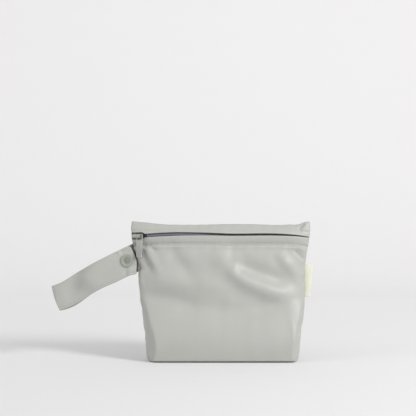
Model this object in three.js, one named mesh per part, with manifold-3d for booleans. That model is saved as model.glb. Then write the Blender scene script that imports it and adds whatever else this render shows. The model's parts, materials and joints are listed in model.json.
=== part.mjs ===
// A small zipped wet bag of laminated knit cloth, standing on its boxed base.
// The front and base are one piece of cloth, the back is another, and a narrow band closes the top above the zip.
// A wrist strap is folded on itself, snapped shut near the left side seam, and a blank label sits in the right one.
// Millimetres: +X to the right of someone facing the front, -Y towards them, +Z up, origin under the middle of the base.
import * as THREE from "three";
import { mergeVertices } from "three/addons/utils/BufferGeometryUtils.js";
import Module from "manifold-3d";

const wasm = await Module();
wasm.setup();

// Pouch
const TOP_WIDTH = 178; // from corner to corner of the top seam
const HEIGHT = 139.5; // floor to the top corners
const BASE_DEPTH = 34; // of the boxed base, front to back
const CLOTH = 1.2; // laminated knit with its turned seam allowance
const TOP_SEAM = 2.4; // cloth sewn together along the top
const CLEARANCE = 0.3; // between pieces that are sewn or seated on each other

// Zip
const ZIP_DROP = 13.6; // from the top corners to the middle of the coil
const SLOT_WIDTH = 3.4; // widest gap between the two lips of cloth
const COIL_WIDTH = 4.0;
const COIL_THICKNESS = 1.5;
const COIL_PITCH = 4.0; // along one half of the coil
const TAPE_THICKNESS = 1.0;
const TAPE_SEAT = 0.5; // between the cloth and the tapes behind it
const TAPE_WIDTH_UPPER = 4.2;
const TAPE_WIDTH_LOWER = 5.6;
const ZIP_INSET = 5.0; // from the side seams to the ends of tapes and coil
const TAPE_NOTCH = 14.0; // length of tape left free for the slider, from the left side seam

// Slider, in its own frame: x along the zip, -y out of the cloth, z across the zip
const SLIDER_INSET = 9.0; // from the left side seam to the pull's pivot
const PLATE_LENGTH = 9.4;
const PLATE_OVERHANG = 2.1; // of the top plate to the right of the pivot
const PLATE_WIDTH = 6.0;
const PLATE_THICKNESS = 1.2;
const PLATE_CHAMFER = 0.5;
const NECK_LENGTH = 3.0;
const NECK_WIDTH = 2.0;
const NECK_SETBACK = 1.6; // from the pivot to the neck, towards the seam
const FOOT_LENGTH = 5.4;
const FOOT_WIDTH = 5.2;
const FOOT_THICKNESS = 0.9;
const ARCH_LEG = 1.4; // of the crown, along the zip
const ARCH_WIDTH = 1.8;
const ARCH_HOLE_LENGTH = 4.6;
const ARCH_HOLE_HEIGHT = 2.1;
const ARCH_BAR = 1.2;

// Pull tab, hung on the crown's right leg
const PULL_LENGTH = 22.0; // pivot to lower end
const PULL_WIDTH = 6.4;
const PULL_THICKNESS = 1.3;
const PULL_BAR = 1.3; // over the window
const WINDOW_WIDTH = 3.4;
const WINDOW_ABOVE = 1.5;
const WINDOW_BELOW = 2.1;
const PULL_CORNER = 1.5;

// Wrist strap and its snap
const STRAP_WIDTH = 26.0;
const STRAP_THICKNESS = 1.6; // four layers of cloth
const STRAP_REACH = 93.0; // side seam to the outside of the fold
const STRAP_END = 2.8; // side seam to the free end, along the strap
const SNAP_PLACE = 10.6; // side seam to the snap, along the strap
const SNAP_CAP_RADIUS = 6.2;
const SNAP_CAP_THICKNESS = 1.7;
const SNAP_RECESS_RADIUS = 4.1;
const SNAP_RECESS_DEPTH = 0.6;
const SNAP_POST_RADIUS = 1.2;
const SNAP_POST_STANDS = 0.4; // out of the far face of its layer of strap
const SNAP_STACK = 3.6; // fastened stud and socket, between the two layers of strap
const SOCKET_RADIUS = 5.2;
const SOCKET_THICKNESS = 2.2;
const SOCKET_FLOOR = 1.4; // under its hollow, from the cloth
const STUD_RADIUS = 3.2;

// Label
const LABEL_HEIGHT = 33.0;
const LABEL_REACH = 7.0; // out of the side seam, at its top
const LABEL_TAPER = 1.8; // less at its foot
const LABEL_LEAN = 0.8; // of its free edge, forwards
const LABEL_THICKNESS = 1.0;
const LABEL_TOP = 96.5; // above the floor

// Mesh fineness
const FRONT_COLUMNS = 40;
const BACK_COLUMNS = 20;
const FOLDED_STEPS = 3; // levels to a row of the sections' table where the folds are
const PLAIN_STEPS = 2; // and below them
const FOLDED_FROM = 0.36; // share of HEIGHT
const FOLDED_TO = 0.8;
const SLIVER = 0.02; // cuts leave no edge shorter than this
const STRAP_STEPS = 30;
const FOLD_STEPS = 8;
const SNAP_SIDES = 28;
const TAPE_STEPS = 26;

const HALF_WIDTH = TOP_WIDTH / 2;
const HALF_DEPTH = BASE_DEPTH / 2;

// Horizontal sections of the outside, from the floor up. rise is a share of HEIGHT, left and right shares of
// half the top width, front and back shares of half the base depth. A high corner makes the plan square, and
// full is how steeply it rounds in to the side seams. Low down, the boxed corners fold the sides into slanting
// gussets instead: gusset is how broad they are, as a share of the half width, and boxed how far they take over.
const SECTIONS = [
  { rise: 0.0, left: -0.838, right: 0.826, front: 0.97, back: 0.97, corner: 9, full: 0.42, gusset: 0.05, boxed: 0.9 },
  { rise: 0.03, left: -0.86, right: 0.845, front: 1.03, back: 1.0, corner: 9, full: 0.42, gusset: 0.09, boxed: 0.9 },
  { rise: 0.1, left: -0.872, right: 0.86, front: 1.12, back: 1.05, corner: 8, full: 0.44, gusset: 0.12, boxed: 0.9 },
  { rise: 0.19, left: -0.883, right: 0.876, front: 1.15, back: 1.1, corner: 7, full: 0.46, gusset: 0.11, boxed: 0.85 },
  { rise: 0.28, left: -0.899, right: 0.893, front: 1.07, back: 1.12, corner: 6, full: 0.5, gusset: 0.085, boxed: 0.7 },
  { rise: 0.37, left: -0.909, right: 0.909, front: 0.9, back: 1.11, corner: 5, full: 0.55, gusset: 0.06, boxed: 0.35 },
  { rise: 0.46, left: -0.921, right: 0.924, front: 0.78, back: 1.04, corner: 4.2, full: 0.6, gusset: 0.06, boxed: 0 },
  { rise: 0.55, left: -0.936, right: 0.928, front: 0.745, back: 0.94, corner: 3.6, full: 0.64, gusset: 0.06, boxed: 0 },
  { rise: 0.64, left: -0.948, right: 0.928, front: 0.74, back: 0.79, corner: 3.2, full: 0.66, gusset: 0.06, boxed: 0 },
  { rise: 0.73, left: -0.961, right: 0.928, front: 0.7, back: 0.62, corner: 3.2, full: 0.64, gusset: 0.06, boxed: 0 },
  { rise: 0.79, left: -0.982, right: 0.938, front: 0.61, back: 0.51, corner: 3.6, full: 0.59, gusset: 0.06, boxed: 0 },
  { rise: 0.825, left: -1.004, right: 0.947, front: 0.53, back: 0.445, corner: 4.2, full: 0.54, gusset: 0.06, boxed: 0 },
  { rise: 0.842, left: -1.01, right: 0.954, front: 0.44, back: 0.415, corner: 4.7, full: 0.51, gusset: 0.06, boxed: 0 },
  { rise: 0.888, left: -1.021, right: 0.963, front: 0.395, back: 0.33, corner: 5, full: 0.5, gusset: 0.06, boxed: 0 },
  { rise: 0.93, left: -1.03, right: 0.972, front: 0.35, back: 0.25, corner: 5, full: 0.5, gusset: 0.06, boxed: 0 },
  { rise: 0.965, left: -1.033, right: 0.975, front: 0.225, back: 0.17, corner: 4.5, full: 0.55, gusset: 0.06, boxed: 0 },
  { rise: 1.0, left: -1.028, right: 0.973, front: 0.13, back: 0.1, corner: 4, full: 0.6, gusset: 0.06, boxed: 0 },
];
const RIGHT_GUSSET = 0.7; // as broad as the left one
const CREASE_SOFTNESS = 0.3; // of the edge between front and gusset

// How far the top seam hangs below its corners, as a share of HEIGHT, along shares of half the top width.
const TOP_SAG = [
  { at: -1.04, drop: 0.0 },
  { at: -0.89, drop: 0.01 },
  { at: -0.73, drop: 0.022 },
  { at: -0.58, drop: 0.0285 },
  { at: -0.2, drop: 0.0285 },
  { at: 0.08, drop: 0.0237 },
  { at: 0.38, drop: 0.026 },
  { at: 0.6, drop: 0.033 },
  { at: 0.75, drop: 0.031 },
  { at: 0.84, drop: 0.02 },
  { at: 0.91, drop: 0.007 },
  { at: 0.98, drop: 0.006 },
];
const SAG_START = 0.93; // share of HEIGHT above which the sag is felt

// The zip's middle line: its rise above the straight line at ZIP_DROP, as a share of HEIGHT, and the gap
// between the lips as a share of SLOT_WIDTH.
const ZIP_LINE = [
  { at: -1.04, lift: -0.011, gap: 1.0 },
  { at: -0.88, lift: -0.008, gap: 1.0 },
  { at: -0.58, lift: 0.0022, gap: 1.0 },
  { at: -0.2, lift: 0.0025, gap: 0.76 },
  { at: 0.08, lift: -0.0018, gap: 0.58 },
  { at: 0.53, lift: 0.0004, gap: 0.55 },
  { at: 0.8, lift: -0.0065, gap: 0.36 },
  { at: 0.94, lift: -0.018, gap: 0.14 },
  { at: 1.0, lift: -0.02, gap: 0.1 },
];

// Folds of the front cloth, each a soft crest (or, with a negative height, a trough) along a curve from one
// end past a bend point to the other. x is a share of half the top width, z of HEIGHT, and reach and height
// are shares of half the base depth.
const FOLDS = [
  { x0: -0.1, z0: 0.8, xb: 0.14, zb: 0.52, x1: 0.76, z1: 0.485, reach: 0.42, height: 0.25 },
  { x0: 0.05, z0: 0.64, xb: 0.2, zb: 0.42, x1: 0.74, z1: 0.4, reach: 0.42, height: -0.13 },
  { x0: 0.3, z0: 0.76, xb: 0.42, zb: 0.7, x1: 0.62, z1: 0.6, reach: 0.4, height: -0.14 },
  { x0: 0.62, z0: 0.79, xb: 0.76, zb: 0.73, x1: 0.9, z1: 0.61, reach: 0.3, height: 0.14 },
  { x0: 0.8, z0: 0.81, xb: 0.86, zb: 0.78, x1: 0.9, z1: 0.74, reach: 0.16, height: 0.09 },
  { x0: -0.92, z0: 0.77, xb: -0.8, zb: 0.74, x1: -0.68, z1: 0.62, reach: 0.28, height: 0.15 },
  { x0: -0.9, z0: 0.49, xb: -0.6, zb: 0.45, x1: -0.12, z1: 0.385, reach: 0.34, height: -0.15 },
  { x0: -0.9, z0: 0.57, xb: -0.7, zb: 0.56, x1: -0.4, z1: 0.5, reach: 0.36, height: 0.11 },
  { x0: -0.58, z0: 0.82, xb: -0.48, zb: 0.7, x1: -0.3, z1: 0.56, reach: 0.34, height: -0.08 },
  { x0: 0.08, z0: 0.82, xb: 0.15, zb: 0.76, x1: 0.22, z1: 0.7, reach: 0.3, height: -0.08 },
];
const FOLD_CURVE_STEPS = 10;
const FOLD_END_FADE = 0.22; // share of a fold's length over which it dies out

// The middle line of the strap, seen from the front: shares of STRAP_REACH out from the left side seam and
// down from the height at which the strap leaves it.
const STRAP_HEIGHT = 104.6; // where the middle line meets the side seam
const STRAP_LINE = [
  { out: -0.09, down: -0.042 },
  { out: 0.17, down: 0.078 },
  { out: 0.385, down: 0.18 },
  { out: 0.575, down: 0.29 },
  { out: 0.735, down: 0.385 },
  { out: 0.873, down: 0.452 },
];

// Along the strap from the side seam: the back layer's place behind the side seam, and the clear space between
// the layers, as shares of SNAP_STACK.
const STRAP_LAYERS = [
  { along: 0.0, back: 0.0, space: 1.0 },
  { along: 0.12, back: 0.12, space: 1.0 },
  { along: 0.21, back: 0.13, space: 1.0 },
  { along: 0.3, back: 0.12, space: 1.0 },
  { along: 0.42, back: -0.1, space: 0.55 },
  { along: 0.58, back: 0.1, space: 0.35 },
  { along: 0.78, back: 0.65, space: 0.62 },
  { along: 0.92, back: 0.6, space: 0.82 },
  { along: 1.0, back: 0.4, space: 0.75 },
];

// A column of a table at a key between its rows, by cubic interpolation through the rows.
function between(table, key, column, at) {
  const last = table.length - 1;
  if (at <= table[0][key]) return table[0][column];
  if (at >= table[last][key]) return table[last][column];
  const slope = (i) => {
    const [a, b] = [table[Math.max(i - 1, 0)], table[Math.min(i + 1, last)]];
    return (b[column] - a[column]) / (b[key] - a[key]);
  };
  const i = table.findIndex((row, n) => n < last && at < table[n + 1][key]);
  const [low, high] = [table[i], table[i + 1]];
  const span = high[key] - low[key];
  const t = (at - low[key]) / span;
  const [t2, t3] = [t * t, t * t * t];
  return (
    (2 * t3 - 3 * t2 + 1) * low[column] +
    (t3 - 2 * t2 + t) * span * slope(i) +
    (3 * t2 - 2 * t3) * high[column] +
    (t3 - t2) * span * slope(i + 1)
  );
}

const smooth = (t) => {
  const c = Math.min(1, Math.max(0, t));
  return c * c * (3 - 2 * c);
};

// How far the folds lift the front cloth at a point of it.
const foldCurves = FOLDS.map((fold) => {
  const point = (x, z) => new THREE.Vector2(x * HALF_WIDTH, z * HEIGHT);
  const curve = new THREE.QuadraticBezierCurve(
    point(fold.x0, fold.z0),
    point(fold.xb, fold.zb),
    point(fold.x1, fold.z1),
  );
  return curve.getPoints(FOLD_CURVE_STEPS);
});

function foldLift(x, z) {
  let lift = 0;
  FOLDS.forEach((fold, n) => {
    const points = foldCurves[n];
    let nearest = Infinity;
    let along = 0;
    for (let i = 0; i + 1 < points.length; i++) {
      const [a, b] = [points[i], points[i + 1]];
      const [dx, dz] = [b.x - a.x, b.y - a.y];
      const t = Math.min(1, Math.max(0, ((x - a.x) * dx + (z - a.y) * dz) / (dx * dx + dz * dz)));
      const away = Math.hypot(x - a.x - t * dx, z - a.y - t * dz);
      if (away < nearest) {
        nearest = away;
        along = (i + t) / (points.length - 1);
      }
    }
    const fade = 0.35 + 0.65 * smooth(Math.min(along, 1 - along) / FOLD_END_FADE);
    lift += fold.height * HALF_DEPTH * fade * Math.exp(-((nearest / (fold.reach * HALF_DEPTH)) ** 2));
  });
  return lift;
}

// One horizontal section of the pouch: its side seams, and the depth of its cavity at a share u between them.
function sectionAt(rise) {
  const at = (column) => between(SECTIONS, "rise", column, rise);
  const left = at("left") * HALF_WIDTH;
  const right = at("right") * HALF_WIDTH;
  const middle = (left + right) / 2;
  const half = (right - left) / 2 - CLOTH;
  const [corner, full, gusset, boxed] = [at("corner"), at("full"), at("gusset"), Math.max(0, at("boxed"))];
  const roundness = (u) => {
    const round = Math.pow(Math.max(0, 1 - Math.pow(Math.abs(u), corner)), full);
    const slant = (1 - Math.abs(u)) / (gusset * (u > 0 ? RIGHT_GUSSET : 1));
    const past = Math.max(0, slant - 1 + CREASE_SOFTNESS);
    const folded = slant > 1 + CREASE_SOFTNESS ? 1 : slant - past ** 2 / (4 * CREASE_SOFTNESS);
    return round + (folded - round) * boxed;
  };
  const frontDepth = at("front") * HALF_DEPTH - CLOTH;
  const backDepth = at("back") * HALF_DEPTH - CLOTH;
  return {
    left,
    right,
    x: (u) => middle + half * u,
    share: (x) => (x - middle) / half,
    front: (u) => {
      const lift = foldLift(middle + half * u, rise * HEIGHT) * (1 - u ** 6);
      return -Math.max(0, frontDepth * roundness(u) + lift * Math.min(1, roundness(u) * 2));
    },
    back: (u) => backDepth * roundness(u),
  };
}

const sagAt = (x, rise) =>
  between(TOP_SAG, "at", "drop", x / HALF_WIDTH) * HEIGHT * smooth((rise - SAG_START) / (1 - SAG_START));

// Points of the inside of the cloth, once round a section, anticlockwise seen from above.
function insideRing(rise) {
  const section = sectionAt(rise);
  const spread = (i, count) => -Math.cos((Math.PI * i) / count);
  const ring = [];
  for (let i = 0; i < FRONT_COLUMNS; i++) {
    const u = spread(i, FRONT_COLUMNS);
    ring.push(new THREE.Vector2(section.x(u), section.front(u)));
  }
  for (let i = 0; i < BACK_COLUMNS; i++) {
    const u = -spread(i, BACK_COLUMNS);
    ring.push(new THREE.Vector2(section.x(u), section.back(u)));
  }
  return ring;
}

// The same ring moved out by a thickness, square to its own line.
function grown(ring, thickness) {
  return ring.map((point, i) => {
    const before = ring[(i + ring.length - 1) % ring.length];
    const after = ring[(i + 1) % ring.length];
    const along = new THREE.Vector2().subVectors(after, before).normalize();
    return new THREE.Vector2(point.x + along.y * thickness, point.y - along.x * thickness);
  });
}

// A closed geometry through rings of equal length, with flat ends.
function loft(rings) {
  const count = rings[0].length;
  const position = rings.flat().flatMap((p) => [p.x, p.y, p.z]);
  const index = [];
  for (let r = 0; r + 1 < rings.length; r++) {
    for (let i = 0; i < count; i++) {
      const j = (i + 1) % count;
      const [a, b, c, d] = [r * count + i, r * count + j, (r + 1) * count + j, (r + 1) * count + i];
      index.push(a, b, d, b, c, d);
    }
  }
  const cap = (ring, first, flip) => {
    const flat = ring.map((p) => new THREE.Vector2(p.x, p.y));
    for (const [a, b, c] of THREE.ShapeUtils.triangulateShape(flat, [])) {
      index.push(...(flip ? [first + a, first + c, first + b] : [first + a, first + b, first + c]));
    }
  };
  cap(rings[0], 0, true);
  cap(rings[rings.length - 1], (rings.length - 1) * count, false);
  const geometry = new THREE.BufferGeometry();
  geometry.setAttribute("position", new THREE.Float32BufferAttribute(position, 3));
  geometry.setIndex(index);
  return geometry;
}

// Between three.js geometry and solids that can be joined and cut. A surface that faces inwards is turned round.
function solidOf(geometry) {
  const bare = geometry.clone();
  bare.deleteAttribute("normal");
  bare.deleteAttribute("uv");
  const merged = mergeVertices(bare, 1e-4);
  const triVerts = new Uint32Array(merged.index.array);
  const vertProperties = new Float32Array(merged.attributes.position.array);
  const make = () => new wasm.Manifold(new wasm.Mesh({ numProp: 3, vertProperties, triVerts }));
  const made = make();
  if (made.volume() >= 0) return made;
  for (let i = 0; i < triVerts.length; i += 3) {
    [triVerts[i + 1], triVerts[i + 2]] = [triVerts[i + 2], triVerts[i + 1]];
  }
  return make();
}

function geometryOf(solid) {
  const mesh = solid.getMesh();
  const geometry = new THREE.BufferGeometry();
  geometry.setAttribute("position", new THREE.BufferAttribute(mesh.vertProperties.slice(), 3));
  geometry.setIndex(new THREE.BufferAttribute(mesh.triVerts.slice(), 1));
  const faceted = geometry.toNonIndexed();
  faceted.computeVertexNormals();
  return faceted;
}

const box = (x0, x1, y0, y1, z0, z1) =>
  solidOf(
    new THREE.BoxGeometry(x1 - x0, y1 - y0, z1 - z0).translate((x0 + x1) / 2, (y0 + y1) / 2, (z0 + z1) / 2),
  );

// A closed bar through frames of four corners, each a THREE.Vector3, listed the same way round
function bar(frames) {
  const position = frames.flat().flatMap((p) => [p.x, p.y, p.z]);
  const index = [];
  for (let r = 0; r + 1 < frames.length; r++) {
    for (let i = 0; i < 4; i++) {
      const j = (i + 1) % 4;
      const [a, b, c, d] = [r * 4 + i, r * 4 + j, (r + 1) * 4 + j, (r + 1) * 4 + i];
      index.push(a, b, c, a, c, d);
    }
  }
  const end = (frames.length - 1) * 4;
  index.push(0, 2, 1, 0, 3, 2, end, end + 1, end + 2, end, end + 2, end + 3);
  const geometry = new THREE.BufferGeometry();
  geometry.setAttribute("position", new THREE.Float32BufferAttribute(position, 3));
  geometry.setIndex(index);
  return solidOf(geometry);
}

// The pouch's cloth
const levels = [];
SECTIONS.slice(0, -1).forEach((row, i) => {
  const folded = row.rise > FOLDED_FROM && row.rise < FOLDED_TO;
  const steps = folded ? FOLDED_STEPS : i > 0 && row.rise < FOLDED_FROM ? PLAIN_STEPS : 1;
  for (let n = 0; n < steps; n++) {
    levels.push(row.rise + ((SECTIONS[i + 1].rise - row.rise) * n) / steps);
  }
});

const raised = (ring, rise) =>
  ring.map((p) => new THREE.Vector3(p.x, p.y, rise * HEIGHT - sagAt(p.x, rise)));
const shellLoft = (rises, thickness) =>
  solidOf(loft(rises.map((rise) => raised(grown(insideRing(rise), thickness), rise))));

const cavityFloor = CLOTH / HEIGHT;
const cavityTop = 1 - TOP_SEAM / HEIGHT;
const inner = levels.filter((rise) => rise > cavityFloor * 1.5 && rise < cavityTop);
const outside = shellLoft([...levels, 1], CLOTH);
const cavity = shellLoft([cavityFloor, ...inner, cavityTop], 0);
const cloth = outside.subtract(cavity);

const FAR = 4 * TOP_WIDTH; // past every face of the pouch, for cutting
const sewLine = CLEARANCE / 2;
const frontHalf = cloth.subtract(box(-FAR, FAR, -sewLine, FAR, CLOTH, FAR));
const backPanel = cloth.intersect(box(-FAR, FAR, sewLine, FAR, CLOTH + CLEARANCE, FAR));

// The line of the zip, and the cloth's lips above and below it
const zipHeight = (x) => HEIGHT - ZIP_DROP + between(ZIP_LINE, "at", "lift", x / HALF_WIDTH) * HEIGHT;
const slotAt = (x) => Math.max(CLEARANCE, between(ZIP_LINE, "at", "gap", x / HALF_WIDTH) * SLOT_WIDTH);

// Everything on one side of a lip, as a slab that runs through the front cloth
function beyondLip(side) {
  const outline = new THREE.Shape();
  const reach = 1.2 * HALF_WIDTH;
  outline.moveTo(-reach, side > 0 ? 2 * HEIGHT : -HEIGHT);
  for (let i = 0; i <= TAPE_STEPS; i++) {
    const x = reach * ((2 * i) / TAPE_STEPS - 1);
    outline.lineTo(x, zipHeight(x) + (side * slotAt(x)) / 2);
  }
  outline.lineTo(reach, side > 0 ? 2 * HEIGHT : -HEIGHT);
  const slab = new THREE.ExtrudeGeometry(outline, { depth: 2 * FAR, bevelEnabled: false });
  return solidOf(slab.rotateX(Math.PI / 2).translate(0, FAR, 0));
}
const topBand = frontHalf.intersect(beyondLip(1));
const frontAndBase = frontHalf.intersect(beyondLip(-1));

// The share of HEIGHT whose section passes through a height at x, the sag of the top seam included
function riseAt(x, z) {
  let rise = z / HEIGHT;
  for (let i = 0; i < 12; i++) rise = (z + sagAt(x, rise)) / HEIGHT;
  return rise;
}

// Depth of the inside of the front cloth at a place
const insideFront = (x, z) => {
  const section = sectionAt(riseAt(x, z));
  return section.front(Math.max(-1, Math.min(1, section.share(x))));
};

// Depth of the outside of the front cloth at a place
function outsideFront(x, z) {
  const ring = grown(insideRing(riseAt(x, z)), CLOTH).slice(0, FRONT_COLUMNS + 1);
  const i = ring.findIndex((p, n) => n + 1 < ring.length && p.x <= x && x < ring[n + 1].x);
  const t = (x - ring[i].x) / (ring[i + 1].x - ring[i].x);
  return ring[i].y + t * (ring[i + 1].y - ring[i].y);
}
const zipSection = sectionAt((HEIGHT - ZIP_DROP) / HEIGHT);

// A strip lying behind the front cloth, from one height over the zip's line to another
function stripBehindCloth(from, to, below, above, thickness) {
  const frames = [];
  for (let i = 0; i <= TAPE_STEPS; i++) {
    const x = from + ((to - from) * i) / TAPE_STEPS;
    const [low, high] = [zipHeight(x) + below, zipHeight(x) + above];
    const deep = (z) => insideFront(x, z) + TAPE_SEAT;
    frames.push([
      new THREE.Vector3(x, deep(low), low),
      new THREE.Vector3(x, deep(high), high),
      new THREE.Vector3(x, deep(high) + thickness, high),
      new THREE.Vector3(x, deep(low) + thickness, low),
    ]);
  }
  return bar(frames);
}

const coilEdge = COIL_WIDTH / 2 + CLEARANCE;
const tapeStart = zipSection.left + ZIP_INSET;
const tapeEnd = zipSection.right - ZIP_INSET;
const tapeUpper = stripBehindCloth(tapeStart, tapeEnd, coilEdge, coilEdge + TAPE_WIDTH_UPPER, TAPE_THICKNESS);
const tapeLower = stripBehindCloth(tapeStart, tapeEnd, -coilEdge - TAPE_WIDTH_LOWER, -coilEdge, TAPE_THICKNESS);

// Each half of the coil is a spine along its tape with teeth that reach past the middle, between those of the
// other half.
const SPINE_WIDTH = 0.7;
const coilStart = zipSection.left + TAPE_NOTCH;
function coilHalf(side) {
  const outer = (side * COIL_WIDTH) / 2;
  const spineEdge = outer - side * SPINE_WIDTH;
  const [below, above] = [Math.min(outer, spineEdge), Math.max(outer, spineEdge)];
  let half = stripBehindCloth(coilStart, tapeEnd, below, above, COIL_THICKNESS);
  const toothLength = COIL_WIDTH - 2 * SPINE_WIDTH - CLEARANCE + SPINE_WIDTH / 2;
  const toothWidth = COIL_PITCH / 2 - CLEARANCE;
  const count = Math.floor((tapeEnd - coilStart) / COIL_PITCH) - 1;
  const offset = side > 0 ? 0 : COIL_PITCH / 2;
  for (let i = 0; i < count; i++) {
    const x = coilStart + COIL_PITCH * (i + 0.5) + offset;
    const middle = zipHeight(x) + outer - side * (SPINE_WIDTH / 2 + toothLength / 2);
    const turn = Math.atan2(insideFront(x + toothWidth, middle) - insideFront(x - toothWidth, middle), 2 * toothWidth);
    const tooth = new THREE.BoxGeometry(toothWidth, COIL_THICKNESS, toothLength)
      .rotateZ(turn)
      .translate(x, insideFront(x, middle) + TAPE_SEAT + COIL_THICKNESS / 2, middle);
    half = half.add(solidOf(tooth));
  }
  return half;
}

// The slider sits square on the cloth where the front curves in to the left side seam. Its frame's origin is
// on the front face of its plate, at the pull's pivot.
const pivotX = zipSection.left + SLIDER_INSET;
const pivotZ = zipHeight(pivotX);
const plateRight = PLATE_OVERHANG;
const plateLeft = plateRight - PLATE_LENGTH;
const plateEnds = [plateLeft, plateRight].map((x) => outsideFront(pivotX + x, pivotZ));
const sliderTurn = Math.atan2(plateEnds[1] - plateEnds[0], PLATE_LENGTH);
const chordAt = (x) => plateEnds[0] + Math.tan(sliderTurn) * (x - plateLeft);
let bulge = 0; // of the cloth, out of the line between the plate's ends
for (let n = 0; n <= 20; n++) {
  const x = plateLeft + (PLATE_LENGTH * n) / 20;
  bulge = Math.max(bulge, (chordAt(x) - outsideFront(pivotX + x, pivotZ)) * Math.cos(sliderTurn));
}
const seatHeight = bulge + CLEARANCE + PLATE_THICKNESS;
const sliderSeat = new THREE.Vector3(
  pivotX + Math.sin(sliderTurn) * seatHeight,
  chordAt(0) - Math.cos(sliderTurn) * seatHeight,
  pivotZ,
);
const neckDepth = seatHeight + CLOTH + TAPE_SEAT + TAPE_THICKNESS + CLEARANCE;

function sliderSolid() {
  const plateOutline = new THREE.Shape();
  const [w, c] = [PLATE_WIDTH / 2, PLATE_CHAMFER];
  const taper = w * 0.28; // the closing end is the broader one
  plateOutline.moveTo(plateLeft + c, -w);
  plateOutline.lineTo(plateRight - c, -w + taper);
  plateOutline.quadraticCurveTo(plateRight, -w + taper, plateRight, -w + taper + c);
  plateOutline.lineTo(plateRight, w - taper - c);
  plateOutline.quadraticCurveTo(plateRight, w - taper, plateRight - c, w - taper);
  plateOutline.lineTo(plateLeft + c, w);
  plateOutline.quadraticCurveTo(plateLeft, w, plateLeft, w - c);
  plateOutline.lineTo(plateLeft, -w + c);
  plateOutline.quadraticCurveTo(plateLeft, -w, plateLeft + c, -w);
  const plate = new THREE.ExtrudeGeometry(plateOutline, {
    depth: PLATE_THICKNESS,
    bevelEnabled: false,
    curveSegments: 3,
  })
    .rotateX(Math.PI / 2)
    .translate(0, PLATE_THICKNESS, 0);
  const arch = new THREE.Shape();
  const legRight = ARCH_LEG / 2;
  const legLeft = -ARCH_LEG / 2 - ARCH_HOLE_LENGTH - ARCH_LEG;
  const top = ARCH_HOLE_HEIGHT + ARCH_BAR;
  const sunk = PLATE_THICKNESS / 2;
  arch.moveTo(legRight, -sunk);
  arch.lineTo(legRight, top - ARCH_BAR);
  arch.quadraticCurveTo(legRight, top, legRight - ARCH_BAR, top);
  arch.lineTo(legLeft + ARCH_BAR, top);
  arch.quadraticCurveTo(legLeft, top, legLeft, top - ARCH_BAR);
  arch.lineTo(legLeft, -sunk);
  const hole = new THREE.Path();
  hole.moveTo(-ARCH_LEG / 2, 0);
  hole.lineTo(-ARCH_LEG / 2, ARCH_HOLE_HEIGHT);
  hole.lineTo(-ARCH_LEG / 2 - ARCH_HOLE_LENGTH, ARCH_HOLE_HEIGHT);
  hole.lineTo(-ARCH_LEG / 2 - ARCH_HOLE_LENGTH, 0);
  arch.holes.push(hole);
  const crown = new THREE.ExtrudeGeometry(arch, { depth: ARCH_WIDTH, bevelEnabled: false, curveSegments: 4 })
    .translate(0, 0, -ARCH_WIDTH / 2)
    .scale(1, -1, 1);
  const [neckLeft, neckRight] = [-NECK_SETBACK - NECK_LENGTH, -NECK_SETBACK];
  const neckHalf = NECK_WIDTH / 2;
  const footBack = neckDepth + FOOT_THICKNESS;
  const neck = box(neckLeft, neckRight, PLATE_THICKNESS / 2, neckDepth + FOOT_THICKNESS / 2, -neckHalf, neckHalf);
  const foot = box(neckLeft, neckLeft + FOOT_LENGTH, neckDepth, footBack, -FOOT_WIDTH / 2, FOOT_WIDTH / 2);
  return solidOf(plate).add(solidOf(crown)).add(neck).add(foot);
}

// The pull tab, hanging flat in the crown's hole
function pullSolid() {
  const w = PULL_WIDTH / 2;
  const top = WINDOW_ABOVE + PULL_BAR;
  const outline = new THREE.Shape();
  const corner = PULL_BAR;
  outline.moveTo(-w + PULL_CORNER, -PULL_LENGTH);
  outline.lineTo(w - PULL_CORNER, -PULL_LENGTH);
  outline.quadraticCurveTo(w, -PULL_LENGTH, w, -PULL_LENGTH + PULL_CORNER);
  outline.lineTo(w, top - corner);
  outline.quadraticCurveTo(w, top, w - corner, top);
  outline.lineTo(-w + corner, top);
  outline.quadraticCurveTo(-w, top, -w, top - corner);
  outline.lineTo(-w, -PULL_LENGTH + PULL_CORNER);
  outline.quadraticCurveTo(-w, -PULL_LENGTH, -w + PULL_CORNER, -PULL_LENGTH);
  const window = new THREE.Path();
  window.moveTo(-WINDOW_WIDTH / 2, -WINDOW_BELOW);
  window.lineTo(-WINDOW_WIDTH / 2, WINDOW_ABOVE);
  window.lineTo(WINDOW_WIDTH / 2, WINDOW_ABOVE);
  window.lineTo(WINDOW_WIDTH / 2, -WINDOW_BELOW);
  outline.holes.push(window);
  const plate = new THREE.ExtrudeGeometry(outline, {
    depth: PULL_THICKNESS,
    bevelEnabled: false,
    curveSegments: 4,
  });
  const middle = -ARCH_HOLE_HEIGHT / 2;
  return solidOf(plate.rotateX(Math.PI / 2).translate(0, middle + PULL_THICKNESS / 2, 0));
}

// Wrist strap
const seamAt = (z) => sectionAt(z / HEIGHT).left;
const strapRoot = new THREE.Vector3(seamAt(STRAP_HEIGHT), 0, STRAP_HEIGHT);
const strapSpine = new THREE.CatmullRomCurve3(
  STRAP_LINE.map(
    (row) => new THREE.Vector3(strapRoot.x - row.out * STRAP_REACH, 0, strapRoot.z - row.down * STRAP_REACH),
  ),
);
const spineLength = strapSpine.getLength();
const tuck = strapSpine.points[0].distanceTo(strapRoot); // cut away again along the side seam
const shareAt = (distance) => (tuck + distance) / spineLength;
const spaceAt = (share) => between(STRAP_LAYERS, "along", "space", share) * SNAP_STACK;
const backAt = (share) => between(STRAP_LAYERS, "along", "back", share) * SNAP_STACK;
const frontAt = (share) => backAt(share) - spaceAt(share) - STRAP_THICKNESS;

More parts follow.
